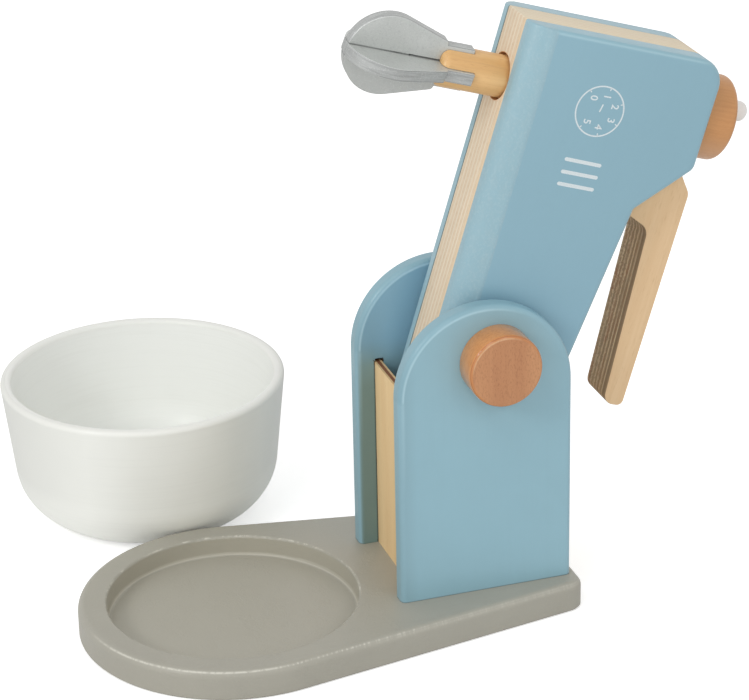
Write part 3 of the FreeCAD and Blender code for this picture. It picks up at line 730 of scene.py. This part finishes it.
class Finish:
    """A material with one Principled shader, whose tone is laid on in coats, one over the other."""

    def __init__(self, name, roughness, specular=0.5, metallic=0.0, coat=0.0, coat_roughness=0.2):
        self.material = bpy.data.materials.new(name)
        self.material.use_nodes = True
        self.nodes = self.material.node_tree.nodes
        self.links = self.material.node_tree.links
        self.shader = self.nodes["Principled BSDF"]
        for socket, value in (("Roughness", roughness), ("Specular IOR Level", specular),
                              ("Metallic", metallic), ("Coat Weight", coat),
                              ("Coat Roughness", coat_roughness)):
            self.shader.inputs[socket].default_value = value
        self.place = Field(self, self.add("TexCoord").outputs["Object"])
        self.tone = None

    def add(self, kind, **settings):
        node = self.nodes.new("ShaderNode" + kind)
        for key, value in settings.items():
            setattr(node, key, value)
        return node

    def put(self, socket, value):
        if isinstance(value, Field):
            self.links.new(value.socket, socket)
        else:
            socket.default_value = value

    def placed(self, centre=(0, 0, 0), turn=(0, 0, 0)):
        """Coordinates from a part's own centre, along its own axes."""
        node = self.add("Mapping", vector_type="TEXTURE")
        self.put(node.inputs["Vector"], self.place)
        node.inputs["Location"].default_value = centre
        node.inputs["Rotation"].default_value = turn
        return Field(self, node.outputs["Vector"])

    def stretched(self, place, scale):
        node = self.add("Mapping")
        self.put(node.inputs["Vector"], place)
        node.inputs["Scale"].default_value = scale
        return Field(self, node.outputs["Vector"])

    def noise(self, place, scale, detail, rough=0.5, swirl=0.0):
        """Noise of one scale, or of a scale for each axis."""
        if isinstance(scale, tuple):
            place, scale = self.stretched(place, scale), 1.0
        node = self.add("TexNoise")
        for name, value in (("Vector", place), ("Scale", scale), ("Detail", detail),
                            ("Roughness", rough), ("Distortion", swirl)):
            self.put(node.inputs[name], value)
        return Field(self, node.outputs["Fac"])

    def parts(self, place):
        node = self.add("SeparateXYZ")
        self.put(node.inputs["Vector"], place)
        return [Field(self, node.outputs[axis]) for axis in "XYZ"]

    def from_axis(self, place, across=(1, 1, 0)):
        """Distance from one axis of the given coordinates, the upright one unless told otherwise."""
        node = self.add("VectorMath", operation="LENGTH")
        self.put(node.inputs[0], self.stretched(place, across))
        return Field(self, node.outputs["Value"])

    def mixed(self, amount, first, second):
        """Two colours, each a field or a screen colour, mixed by a mask."""
        node = self.add("Mix", data_type="RGBA")
        colours = [socket for socket in node.inputs if socket.type == "RGBA"]
        self.put(node.inputs["Factor"], amount)
        for socket, value in zip(colours, (first, second)):
            self.put(socket, shade(*value) if isinstance(value, tuple) else value)
        return Field(self, [socket for socket in node.outputs if socket.type == "RGBA"][0])

    def start(self, amount, first, second):
        self.tone = self.mixed(amount, first, second)

    def lay(self, mask, colour, amount=None):
        """A coat of colour over the tone so far, where the mask holds."""
        self.tone = self.mixed(mask if amount is None else mask * amount, self.tone, colour)

    def done(self, roughness=None, *layers):
        """The material with its tone, its roughness and its bumps, each a (height, depth in mm) pair."""
        self.put(self.shader.inputs["Base Color"], self.tone)
        if roughness:
            self.put(self.shader.inputs["Roughness"], roughness)
        last = None
        for height, depth in layers:
            node = self.add("Bump")
            node.inputs["Distance"].default_value = depth * MM
            self.put(node.inputs["Height"], height)
            if last:
                self.put(node.inputs["Normal"], last)
            last = Field(self, node.outputs["Normal"])
        if last:
            self.put(self.shader.inputs["Normal"], last)
        return self.material


# ---- finishes
HEAD_TURN = (0, HEAD_TILT, 0)
BLUE = (143, 181, 194)
GREY_GREEN = (166, 163, 151)
PEG_WHITE = (238, 234, 229)
PLIES = 13
GRIP_LEAN = 0.0692
ARCH_CENTRE = (0.09375, 0.0, 0.096)
ARCH_CREST = 33.0 * MM
FRONT_PANEL_FACE = 66.75 * MM
REAR_PANEL_FACE = 117.75 * MM
GROOVES = ((68.25, 92.2), (119.25, 76.3))
RECESS_RIM = 49.25 * MM


def blue_paint(made, place, depth):
    """Satin paint on smooth board: a slow drift of tone, faint board grain under it and fine pimples."""
    drift = made.noise(place, 22.0, 2.0)
    cloud = made.noise(place, 160.0, 3.0, 0.6)
    pimple = made.noise(place, 1300.0, 2.0, 0.6)
    fibre = made.noise(place, (420, 420, 34), 4.0, 0.6)
    made.start(drift.spread(0.3, 0.7), toned(BLUE, depth * 0.988), toned(BLUE, depth * 1.008))
    made.lay(cloud.spread(0.35, 0.7, 0.0, 0.35), toned(BLUE, depth * 1.012))
    made.lay(fibre.spread(0.5, 0.8, 0.0, 0.22), toned(BLUE, depth * 0.965))
    made.lay(pimple.spread(0.6, 0.75, 0.0, 0.25), toned(BLUE, depth * 1.05))
    return cloud.spread(0.3, 0.7, 0.38, 0.47), (drift, 0.3), (fibre, 0.02), (pimple, 0.02)


def blue_head_lacquer():
    """The covers: the outer faces are painted darker, and bluer low down, as painted shade, so that the broad
    front round reads a little lighter with a crisp border; the round carries a painted mottled highlight.
    """
    made = Finish("blue_head_lacquer", 0.42, 0.42, coat=0.2, coat_roughness=0.12)
    surface = blue_paint(made, made.placed((0, 0, 0), HEAD_TURN), 1.0)
    own = made.placed(PIVOT, HEAD_TURN)
    back, _, up = made.parts(own)
    side = abs(made.parts(made.place)[1])
    crease = HEAD_FRONT + FRONT_ROUND
    flat = side.spread(COVER_HALF - 0.4 * MM, COVER_HALF - 0.02 * MM, 0.0, 0.45)
    # painted shade: the outer faces darker than the front round, and bluer towards the bottom
    made.lay(flat, (134, 171, 188))
    made.lay(flat * up.ramp(60, 0, 0.0, 0.6), (140, 184, 206))
    # a painted highlight along the top edge's arris
    crest_highlight = (up.band(HEAD_TOP - 1.15 * MM, 1.2 * MM) * back.ramp(58, 50)
             * back.spread(crease - MM, crease + MM) * side.spread(COVER_HALF - 1.8 * MM, COVER_HALF - MM))
    made.lay(crest_highlight, (180, 210, 219), 0.4)
    # painted highlight on the front round: a mottled sheen and fine light glints
    round_highlight = back.spread(crease + 0.2 * MM, crease - 0.3 * MM)
    sheen_mottle = made.noise(own, (340, 340, 190), 4.0, 0.65)
    made.lay(round_highlight * sheen_mottle.spread(0.35, 0.7, 0.25, 0.55), (154, 180, 188))
    speck = made.noise(own, (1100, 1100, 900), 2.0, 0.6)
    made.lay(round_highlight * speck.spread(0.5, 0.66, 0.0, 0.16), (184, 206, 212))
    return made.done(*surface)


def blue_board_lacquer():
    """The column boards: painted shade as a thin dark line where they stand on the base, and as ragged dark
    holes, like torn wood, in their grooves.
    """
    made = Finish("blue_board_lacquer", 0.42, 0.42, coat=0.2, coat_roughness=0.12)
    surface = blue_paint(made, made.place, 1.012)
    back, across, height = made.parts(made.place)
    side = abs(across)
    # painted shade: darker towards the front edges, and a thin dark line at the foot where the boards stand
    # on the base
    made.lay(back.ramp(66, 60.5, 0.0, 0.6), (134, 168, 180))
    made.lay(height.ramp(12.5, 12.05, 0.0, 0.75), (88, 92, 88))
    # painted shade on the inner faces: greener and duller before the front panel, where the panel's colour is
    # painted in as a reflection, bluer above it, and dark along its joint
    inner_face = side.ramp(22.6, 22.1)
    made.lay(inner_face * back.ramp(72, 66) * height.ramp(120, 80), (106, 130, 124), 0.8)
    made.lay(inner_face * height.ramp(90, 100), (132, 177, 205), 0.5)
    joint = side.ramp(22.6, 22.3) * back.band(FRONT_PANEL_FACE, 1.5 * MM) * (height < 91 * MM)
    made.lay(joint, (40, 44, 36), 0.9)
    # a painted highlight along the arch's arris and down its front edge, and painted shade on the round
    # outside it
    arch = made.placed(ARCH_CENTRE)
    run, _, rise = made.parts(arch)
    reach = made.from_axis(arch, (1, 0, 1))
    upper = rise.ramp(-1, 1)
    lower = upper.spread(0.0, 1.0, 1.0, 0.0) * rise.ramp(-40, -5)
    leading = run.ramp(16, -2)
    crest_highlight = (reach.band(ARCH_CREST, 1.3 * MM) * upper) | (run.band(-ARCH_CREST, 2.0 * MM) * lower * 0.45)
    outside = reach.spread(ARCH_CREST, ARCH_CREST + 0.8 * MM) * upper
    made.lay(outside * leading, (124, 160, 172), 0.45)
    made.lay(crest_highlight * leading, (186, 218, 228), 0.52)
    # painted shade in the grooves, each with its middle and its top in millimetres, ragged like torn wood at
    # their upper ends
    ragged = made.noise(made.place, 800.0, 3.0, 0.7).spread(0.3, 0.7, -0.6 * MM, 0.6 * MM)
    torn = made.noise(made.place, 520.0, 2.0, 0.6).spread(0.38, 0.6, -1.1 * MM, 0.9 * MM)
    in_groove = (side > 21.9 * MM) * (side < 24.9 * MM)
    groove_shade = made.mixed(ragged.ramp(-0.4, 0.4), (66, 50, 38), (24, 19, 16))
    for middle, top in GROOVES:
        half_width = height.ramp(top - 3.0, top - 1.8, 1.35 * MM, 1.95 * MM)
        hole = (abs(back - middle * MM) + ragged < half_width) * (height + torn < top * MM)
        made.lay(in_groove * hole, groove_shade)
    return made.done(*surface)


def grey_lacquer():
    """The base's paint, with painted highlights and some wear along its upper edges and round the recess, and
    the recess painted lighter as painted light.
    """
    made = Finish("grey_green_lacquer", 0.46, 0.45, coat=0.15, coat_roughness=0.25)
    place = made.place
    along, across, height = made.parts(place)
    reach = made.from_axis(place)
    drift = made.noise(place, 26.0, 3.0)
    pimple = made.noise(place, 1100.0, 2.0, 0.6)
    fibre = made.noise(place, (30, 380, 380), 4.0, 0.6)
    made.start(drift.spread(0.3, 0.7), toned(GREY_GREEN, 0.975), toned(GREY_GREEN, 1.01))
    made.lay(fibre.spread(0.5, 0.8, 0.0, 0.25), toned(GREY_GREEN, 0.95))
    made.lay(pimple.spread(0.58, 0.72, 0.0, 0.3), toned(GREY_GREEN, 1.06))
    # the wall of the recess, and its floor, painted lighter: painted light
    made.lay(reach.ramp(47.9, 48.4) * reach.ramp(49.3, 48.9) * height.ramp(11.6, 10.8), (176, 172, 157), 0.8)
    made.lay(reach.ramp(47.6, 47.0) * height.ramp(5.0, 4.2) * height.ramp(2, 3), toned(GREY_GREEN, 1.03))
    # painted highlights mixed with wear on the recess rim and on the outer top edge, near side only, and a
    # light line where the wall meets the floor
    worn = (made.noise(place, 90.0, 4.0, 0.7).spread(0.45, 0.6)
            * made.noise(place, (500, 500, 900), 3.0, 0.7).spread(0.42, 0.55))
    rim = reach.band(RECESS_RIM, 1.1 * MM) * height.ramp(11.3, 11.6) * worn * 0.75
    cove = height.band(3.95 * MM, 0.55 * MM) * reach.ramp(47.4, 47.8) * reach.ramp(49.3, 48.9) * 0.22
    lower_line = height.band(10.7 * MM, 1.5 * MM) * along.ramp(25, 70, 0.0, 0.8)
    outer = (height.band(11.3 * MM, 0.8 * MM) | lower_line) * reach.ramp(51, 52) * across.ramp(-8, -30)
    # the highlight broken into fine uneven beads, like nicks a cutter leaves, where the edge runs straight:
    # fainter to the rear
    shifted = along + made.noise(place, (240, 30, 30), 3.0, 0.6).spread(0.3, 0.7, -1.6 * MM, 1.6 * MM)
    bead = (shifted * (3.1 / MM)).maths("SINE")
    strength = made.noise(place, (330, 30, 30), 2.0, 0.6).spread(0.35, 0.62, 0.3, 1.0)
    beaded = ((bead.spread(-0.6, 0.8) * strength) | along.ramp(10, -4)) * along.ramp(30, 80, 1.0, 0.4)
    long_line = made.noise(place, (700, 700, 60), 2.0, 0.6).spread(0.35, 0.55, 0.45, 1.0)
    made.lay(rim | (outer * long_line * (beaded | 0.2) * 0.82) | cove, (222, 220, 208))
    return made.done(drift.spread(0.3, 0.7, 0.42, 0.52),
                     (drift, 0.3), (fibre, 0.03), (pimple, 0.04), (worn, 0.06))


def veneer(made, place, light, dark, pore):
    """Face veneer: long soft figure with short fine pores, along Z of the given coordinates."""
    figure = made.noise(place, (170, 170, 9), 4.0, 0.55, 0.3)
    line = made.noise(place, (900, 900, 22), 3.0, 0.6)
    dash = made.noise(place, (1900, 1900, 240), 2.0, 0.5)
    tone = made.mixed(figure.spread(0.32, 0.7), light, dark)
    tone = made.mixed(line.spread(0.5, 0.75, 0.0, 0.45), tone, dark)
    return made.mixed(dash.spread(0.6, 0.75, 0.0, 0.35), tone, pore), dash


def core_plywood():
    """Thirteen-ply birch: cream edges, soft tan glue lines, browner on the saw-cut edges of the handle."""
    made = Finish("core_plywood", 0.6, 0.3)
    place = made.placed(PIVOT, HEAD_TURN)
    back, across, up = made.parts(place)
    wander = made.noise(place, (70, 8, 70), 3.0).spread(0.0, 1.0, -0.3 * MM, 0.3 * MM)
    step = (across + wander + CORE_HALF) * (PLIES / (2 * CORE_HALF))
    streak = made.noise(place, (26, 1100, 26), 4.0, 0.6)
    pores = made.noise(place, (500, 1700, 500), 2.0, 0.6)
    long_ply = made.mixed(streak.spread(0.35, 0.7), (233, 220, 198), (222, 205, 180))
    cross_ply = made.mixed(pores.spread(0.35, 0.75), (227, 208, 181), (213, 190, 160))
    made.start(step.maths("FLOOR").maths("MODULO", 2.0), long_ply, cross_ply)
    glue = abs(step.maths("FRACT") - 0.5).spread(0.36, 0.5)
    made.lay(glue, (204, 172, 134), 0.5)
    made.lay(across.ramp(-7.7, -8.0, 0.0, 0.4), (228, 190, 140))
    # a painted shadow line before the far cover, and a top painted paler as painted light
    joint = across.ramp(8.3, 8.6, 0.0, 0.92) * back.spread(HEAD_FRONT + 0.5 * MM, HEAD_FRONT + 0.2 * MM)
    made.lay(joint, (52, 70, 66))
    made.lay(up.spread(HEAD_TOP - 0.25 * MM, HEAD_TOP - 0.05 * MM, 0.0, 0.5), (242, 230, 204))
    # raw, darker saw-cut edges behind the head, most of all inside the grip: every other ply stands out light
    hair = made.noise(place, (300, 1500, 40), 3.0, 0.75)
    rust = made.noise(place, (260, 420, 60), 3.0, 0.6)
    chips = made.noise(place, (700, 900, 620), 3.0, 0.7)
    ragged = chips.spread(0.35, 0.65, -0.45, 0.45) * across.ramp(-4, 5, 0.25, 1.4)
    off_ply = (step + ragged - 0.5).maths("PINGPONG", 1.0)
    light_ply = made.mixed(hair.spread(0.35, 0.65), (250, 226, 186), (202, 172, 132))
    dark_ply = made.mixed(hair.spread(0.35, 0.65), (184, 150, 112), (132, 103, 72))
    rusty = rust.spread(0.46, 0.6) * across.ramp(-5, 5, 0.4, 1.0)
    dark_ply = made.mixed(rusty, dark_ply, (160, 98, 56))
    worn = made.noise(place, (90, 300, 14), 2.0).spread(0.35, 0.65, 0.0, 0.45)
    saw = made.mixed(off_ply.spread(0.1, 0.5) | worn, light_ply, dark_ply)
    saw = made.mixed(chips.spread(0.62, 0.7, 0.0, 0.5), saw, (240, 214, 176))
    # painted shade: darker still towards the near face
    saw = made.mixed(across.ramp(-5.9, -6.6, 0.0, 0.75), saw, (134, 103, 74))
    lean = back + up * GRIP_LEAN
    in_grip = lean.ramp(61, 60) * lean.ramp(50, 52) * up.ramp(62, 59)
    in_grip = in_grip | (up.ramp(-18.2, -18.35) * back.ramp(55, 57))
    made.lay(in_grip, saw, 0.85)
    # the drilled hole round the whisk's shaft is painted darker: painted shade in the hole
    bore = made.from_axis(made.placed(WHISK_FRAME.to_translation(), HEAD_TURN), (0, 1, 1))
    made.lay(bore < 9.2 * MM, (212, 164, 116))
    face, dash = veneer(made, place, (233, 201, 160), (226, 191, 148), (206, 169, 126))
    made.lay(abs(across) > CORE_HALF - 0.12 * MM, face)
    return made.done(pores.spread(0.3, 0.7, 0.54, 0.68), (streak, 0.03), (dash, 0.03),
                     (glue * -1.0, 0.06), (in_grip * hair, 0.3))


def panel_plywood(name, front_face):
    """Three-ply panel, thin along X: cream faces, upright grain, a dark reddish middle ply on the edges."""
    made = Finish(name, 0.6, 0.3)
    depth = made.parts(made.place)[0] - front_face
    face, dash = veneer(made, made.place, (240, 210, 162), (232, 198, 147), (208, 172, 122))
    pores = made.noise(made.place, 1500.0, 3.0, 0.7)
    middle = made.mixed(pores.spread(0.35, 0.7), (150, 98, 66), (104, 66, 46))
    outer = made.mixed(pores.spread(0.35, 0.7), (226, 198, 152), (196, 162, 116))
    edge = made.mixed(depth.band(1.5 * MM, 1.9 * MM).spread(0.2, 0.35), outer, middle)
    made.start(depth.band(1.5 * MM, 3.0 * MM).spread(0.02, 0.04), face, edge)
    return made.done(pores.spread(0.3, 0.7, 0.54, 0.66), (dash, 0.03), (pores, 0.03))


def turned_beech(name, grain_turn, centre, turn, across, radius, arris, side_tones, coat, rim_tone,
                 line=0.7, floor_reflection=0.0):
    """Oiled beech turned to a disc: fine straight grain, ray flecks, and richer colour on rim and side."""
    made = Finish(name, 0.42, 0.35, coat=coat, coat_roughness=0.08)
    fleck = (148, 92, 54)
    grain = made.placed((0, 0, 0), grain_turn)
    bands = made.noise(grain, (150, 150, 8), 1.0)
    lines = made.noise(grain, (1100, 1100, 60), 4.0, 0.65, 0.1)
    flecks = made.noise(grain, (2300, 2300, 900), 2.0, 0.6)
    made.start(bands.spread(0.36, 0.66), (199, 141, 94), (187, 128, 83))
    made.lay(lines.spread(0.48, 0.75, 0.0, 0.22), fleck)
    made.lay(flecks.spread(0.5, 0.75, 0.0, 0.5), fleck)
    own = made.placed(centre, turn)
    back, _, up = made.parts(own)
    reach = made.from_axis(own, across)
    round_side = made.mixed(lines.spread(0.4, 0.7), *side_tones)
    made.lay(reach.spread(radius - 0.3 * MM, radius - 0.1 * MM, 0.0, 0.75), round_side)
    # a painted reflection of the pale floor, lighter towards the foot
    made.lay(up.spread(-3 * MM, -radius, 0.0, floor_reflection), (224, 186, 158))
    # the rim, with a painted highlight to the upper front and a fine dark outline
    made.lay(reach.band(radius - arris * 0.45, arris), rim_tone, 0.75)
    rim_highlight = reach.band(radius - arris * 0.85, 0.9 * MM) * up.ramp(0, 7) * back.ramp(7, 0) * line
    made.lay(rim_highlight * lines.spread(0.35, 0.6, 0.55, 1.0), (234, 196, 152))
    made.lay(reach.band(radius - 0.27 * MM, 0.34 * MM), (160, 88, 40), line)
    return made.done(flecks.spread(0.3, 0.7, 0.38, 0.5), (lines, 0.02), (flecks, 0.03))


def dowel_wood():
    """Light honey-coloured dowel, its fine grain along the whisk's axis."""
    made = Finish("dowel_wood", 0.42, 0.45, coat=0.3, coat_roughness=0.2)
    place = made.placed(PIVOT, HEAD_TURN)
    bands = made.noise(place, (9, 210, 210), 2.0)
    lines = made.noise(place, (36, 1300, 1300), 4.0, 0.65, 0.1)
    dashes = made.noise(place, (320, 2300, 2300), 2.0)
    made.start(bands.spread(0.34, 0.68), (230, 187, 128), (220, 173, 112))
    made.lay(lines.spread(0.5, 0.76, 0.0, 0.5), (198, 150, 98))
    made.lay(dashes.spread(0.6, 0.76, 0.0, 0.35), (184, 132, 82))
    return made.done(lines.spread(0.3, 0.7, 0.38, 0.48), (lines, 0.02), (dashes, 0.03))


def silver_lacquer(name, turn):
    """Silver paint on a thin board: fine metal flake, darker specks, and the plies telling on its edges."""
    made = Finish(name, 0.4, 0.5, metallic=0.45, coat=0.1, coat_roughness=0.3)
    plate = WHISK_FRAME @ Matrix.Rotation(turn, 4, "X")
    place = made.placed(plate.to_translation(), tuple(plate.to_euler()))
    along, across, up = made.parts(place)
    drift = made.noise(place, 70.0, 3.0)
    flake = made.noise(place, 2200.0, 1.0, 0.7)
    speck = made.noise(place, 900.0, 3.0, 0.7)
    made.start(drift.spread(0.3, 0.7), (196, 199, 196), (205, 208, 205))
    made.lay(speck.spread(0.5, 0.72, 0.0, 0.4), (166, 169, 169))
    on_edge = abs(across).ramp(2.3, 2.1)
    streak = on_edge * made.noise(place, (90, 1500, 90), 3.0, 0.6).spread(0.42, 0.62)
    made.lay(on_edge, (174, 176, 175), 0.7)
    made.lay(streak, (138, 140, 139), 0.5)
    # painted shade: the upright plate darker below the cross plate
    if not turn:
        made.lay(up.ramp(-2.6, -4.0, 0.0, 0.6), (180, 182, 179))
    # dark outlines beside the arrises, weakest round the tip
    made.lay(abs(across).band(2.1 * MM, 0.36 * MM) * along.ramp(-74, -62, 0.15, 0.6), (98, 100, 100))
    # a painted shadow line along the joint where the other plate passes through
    wide = along.band(-61 * MM, 12 * MM).spread(0.0, 1.0, 0.6, 1.0)
    made.lay(abs(up).band(2.55 * MM, 0.7 * MM) * wide, (70, 72, 72))
    made.lay(flake.spread(0.6, 0.75, 0.0, 0.5), (226, 228, 226))
    return made.done(flake.spread(0.3, 0.7, 0.46, 0.32),
                     (speck, 0.03), (flake, 0.02), (streak, 0.06))


def peg_lacquer():
    """Smooth white paint with a barely seen drift and a few pinholes."""
    made = Finish("white_peg_paint", 0.32, 0.5, coat=0.12, coat_roughness=0.2)
    drift = made.noise(made.place, 30.0, 3.0)
    pimple = made.noise(made.place, 1000.0, 2.0, 0.6)
    made.start(drift.spread(0.3, 0.7), toned(PEG_WHITE, 0.99), toned(PEG_WHITE, 1.004))
    made.lay(pimple.spread(0.62, 0.76, 0.0, 0.3), toned(PEG_WHITE, 0.955))
    return made.done(drift.spread(0.3, 0.7, 0.28, 0.37), (drift, 0.2), (pimple, 0.02))


def bowl_lacquer():
    """White paint: faint level brush marks; painted shade on both sides and low inside, painted light towards
    the foot and up the inside of the wall.
    """
    made = Finish("white_bowl_paint", 0.42, 0.5, coat=0.12, coat_roughness=0.2)
    place = made.placed(BOWL_CENTRE)
    along, _, height = made.parts(place)
    drift = made.noise(place, 30.0, 3.0)
    brushed = made.noise(place, (24, 24, 1100), 4.0, 0.65)
    made.start(drift.spread(0.3, 0.7), (238, 239, 233), (242, 243, 237))
    # painted shade on the left and right sides, and painted light towards the foot
    made.lay(along.ramp(-35, -58, 0.0, 0.9), (219, 220, 214))
    made.lay(along.ramp(38, 60, 0.0, 0.8), (221, 221, 215))
    made.lay(height.ramp(26, 6, 0.0, 0.9), (252, 253, 247))
    # inside is whatever lies nearer the middle than the half-way line of the wall
    rise = height - 26.0 * MM
    below = rise.maths("MINIMUM", 0.0)
    out = (made.from_axis(place) - 31.0 * MM) | 0.0
    inside = (below * below + out * out).maths("SQRT") < (rise | 0.0) * 0.11 + 21.7 * MM
    # painted shade low inside the bowl and painted light up the inside of the wall
    made.lay(inside, made.mixed(height.ramp(7.5, 24.0), (228, 230, 225), (245, 246, 242)))
    made.lay(height.ramp(58.4, 59.4, 0.0, 0.7), (235, 235, 229))
    made.lay(brushed.spread(0.48, 0.75, 0.0, 0.2), (228, 229, 223))
    return made.done(drift.spread(0.3, 0.7, 0.36, 0.47), (drift, 0.2), (brushed, 0.012))


def print_ink():
    """Matt off-white screen print, thin enough to let a little of the blue through."""
    made = Finish("print_ink", 0.6, 0.3)
    grain = made.noise(made.place, 2400.0, 3.0, 0.7)
    made.start(grain.spread(0.35, 0.7), (222, 230, 232), (204, 216, 220))
    return made.done(None, (grain, 0.02))


def zinc_plate():
    made = Finish("zinc_plate", 0.35, 0.5, metallic=1.0)
    streak = made.noise(made.place, (900, 900, 120), 3.0)
    made.start(streak, (150, 152, 155), (200, 200, 198))
    return made.done(streak.spread(0.3, 0.7, 0.28, 0.45), (streak, 0.03))


def washer_fibre():
    made = Finish("washer_fibre", 0.8, 0.3)
    fuzz = made.noise(made.place, 1400.0, 4.0)
    made.start(fuzz, (48, 47, 45), (72, 70, 66))
    return made.done(fuzz.spread(0.3, 0.7, 0.74, 0.88), (fuzz, 0.1))


# ---- floor, light and camera
WHITE = (1, 1, 1, 1)
PAPER_LOW = (243.445, 243.445, 243.445)
PAPER_HIGH = (248.153, 248.153, 248.153)
PAPER_GLOW = 0.45


def studio_floor():
    """Pale paper under the toy; only the camera sees its glow, so it reads white and still takes a shadow."""
    put_down()
    bpy.ops.mesh.primitive_plane_add(size=8.0, location=(0, 0, -0.15 * MM))
    floor = bpy.context.object
    floor.name = "studio_floor"
    made = Finish("floor_paper", 0.9, 0.1)
    tooth = made.noise(made.place, 300.0, 2.0)
    made.start(tooth, PAPER_LOW, PAPER_HIGH)
    seen = Field(made, made.add("LightPath").outputs["Is Camera Ray"])
    made.put(made.shader.inputs["Emission Color"], WHITE)
    made.put(made.shader.inputs["Emission Strength"], seen * PAPER_GLOW)
    floor.data.materials.append(made.done())


def softbox(name, place, power, side=0.5):
    lamp = bpy.data.lights.new(name, "AREA")
    lamp.shape = "SQUARE"
    lamp.size = side
    lamp.energy = power
    holder = bpy.data.objects.new(name, lamp)
    bpy.context.scene.collection.objects.link(holder)
    holder.location = place
    holder.rotation_mode = "QUATERNION"
    holder.rotation_quaternion = (Vector(place) - CAMERA_AIM).to_track_quat("Z", "Y")


def studio_world(level):
    """An even soft light, which the camera and clear reflections see as plain white."""
    world = bpy.data.worlds.new("studio")
    bpy.context.scene.world = world
    world.use_nodes = True
    nodes, links = world.node_tree.nodes, world.node_tree.links
    path = nodes.new("ShaderNodeLightPath")
    seen = path.outputs["Is Camera Ray"]
    for ray in ("Is Glossy Ray", "Is Transmission Ray"):
        either = nodes.new("ShaderNodeMath")
        either.operation = "MAXIMUM"
        links.new(seen, either.inputs[0])
        links.new(path.outputs[ray], either.inputs[1])
        seen = either.outputs["Value"]
    strength = nodes.new("ShaderNodeMapRange")
    strength.inputs["To Min"].default_value = level
    strength.inputs["To Max"].default_value = 1.0
    links.new(seen, strength.inputs["Value"])
    links.new(strength.outputs["Result"], nodes["Background"].inputs["Strength"])
    nodes["Background"].inputs["Color"].default_value = WHITE


def place_camera():
    level = math.cos(CAMERA_ELEVATION)
    back = Vector((math.sin(CAMERA_AZIMUTH) * level, -math.cos(CAMERA_AZIMUTH) * level,
                   math.sin(CAMERA_ELEVATION)))
    camera = bpy.data.objects.new("camera", bpy.data.cameras.new("camera"))
    bpy.context.scene.collection.objects.link(camera)
    camera.data.sensor_width = 36.0
    camera.data.lens = CAMERA_LENS
    camera.data.clip_start = 0.01
    camera.data.clip_end = 20.0
    camera.location = CAMERA_AIM + back * CAMERA_DISTANCE
    camera.rotation_mode = "QUATERNION"
    upright = back.to_track_quat("Z", "Y")
    camera.rotation_quaternion = upright @ Matrix.Rotation(CAMERA_ROLL, 3, "Z").to_quaternion()
    bpy.context.scene.camera = camera


# ---- everything together
blue_column = blue_board_lacquer()
blue_head = blue_head_lacquer()
dowel = dowel_wood()
beech_cap = turned_beech("beech_caps", (0, 0, 0), PIVOT, (0, 0, 0), (1, 0, 1), CAP_RADIUS, CAP_ARRIS,
                        ((226, 152, 74), (206, 130, 56)), 0.8, (198, 126, 62))
beech_knob = turned_beech("beech_knob", (0, HEAD_TILT + QUARTER, 0), WHISK_FRAME.to_translation(),
                          HEAD_TURN, (0, 1, 1), KNOB_RADIUS, KNOB_ARRIS, ((205, 149, 96), (196, 140, 89)),
                          0.25, (208, 152, 90), line=0.0, floor_reflection=0.45)
fibre = washer_fibre()
CARRIED = {
    "base_plate": grey_lacquer(),
    "column_board_right": blue_column,
    "column_board_left": blue_column,
    "front_panel": panel_plywood("front_panel_plywood", FRONT_PANEL_FACE),
    "rear_panel": panel_plywood("rear_panel_plywood", REAR_PANEL_FACE),
    "pivot_rod": dowel,
    "pivot_washer_right": fibre,
    "pivot_washer_left": fibre,
    "bowl": bowl_lacquer(),
}
for node, finish in CARRIED.items():
    NODES[node].material_slots[0].material = finish

dress(head_core_shape(), core_plywood(), "head", "head_core")
for side, word in ((-1, "right"), (1, "left")):
    dress(cover_shape("painted_cover_" + word, side), blue_head, "head", "head_cover_" + word)
    dress(cap_shape("beech_cap_" + word, side), beech_cap, "base", "pivot_cap_" + word)
for word, from_tip, turn in (("upright", False, 0.0), ("cross", True, QUARTER)):
    dress(blade_shape("whisk_plate_" + word, from_tip, turn), silver_lacquer("silver_lacquer_" + word, turn),
          "whisk", "whisk_blade_" + word)
dress(knob_shape(), beech_knob, "whisk", "turning_knob")
dress(peg_shape(), peg_lacquer(), "whisk", "crank_peg")
dress(shaft_shape(), dowel, "whisk", "whisk_shaft")
ink = print_ink()
for piece in speed_stripes() + dial_marks():
    dress(piece, ink, "head")
dress(dial_ring(), ink, "head")
for index in range(len(DIAL_NUMBERS)):
    dress(dial_number(index), ink, "head")
zinc = zinc_plate()
for screw in board_screws():
    dress(screw, zinc, "base", "board_screws")

studio_floor()
studio_world(0.65)
softbox("left_softbox", (-1.4, -0.7, 1.1), 7.8)
softbox("front_softbox", (-0.3, -1.8, 1.1), 3.0)
softbox("right_softbox", (0.6, -1.6, 1.3), 2.4)
softbox("upper_left_softbox", (-0.7, -0.8, 1.8), 3.3)
place_camera()
bpy.context.scene.view_settings.view_transform = "Standard"
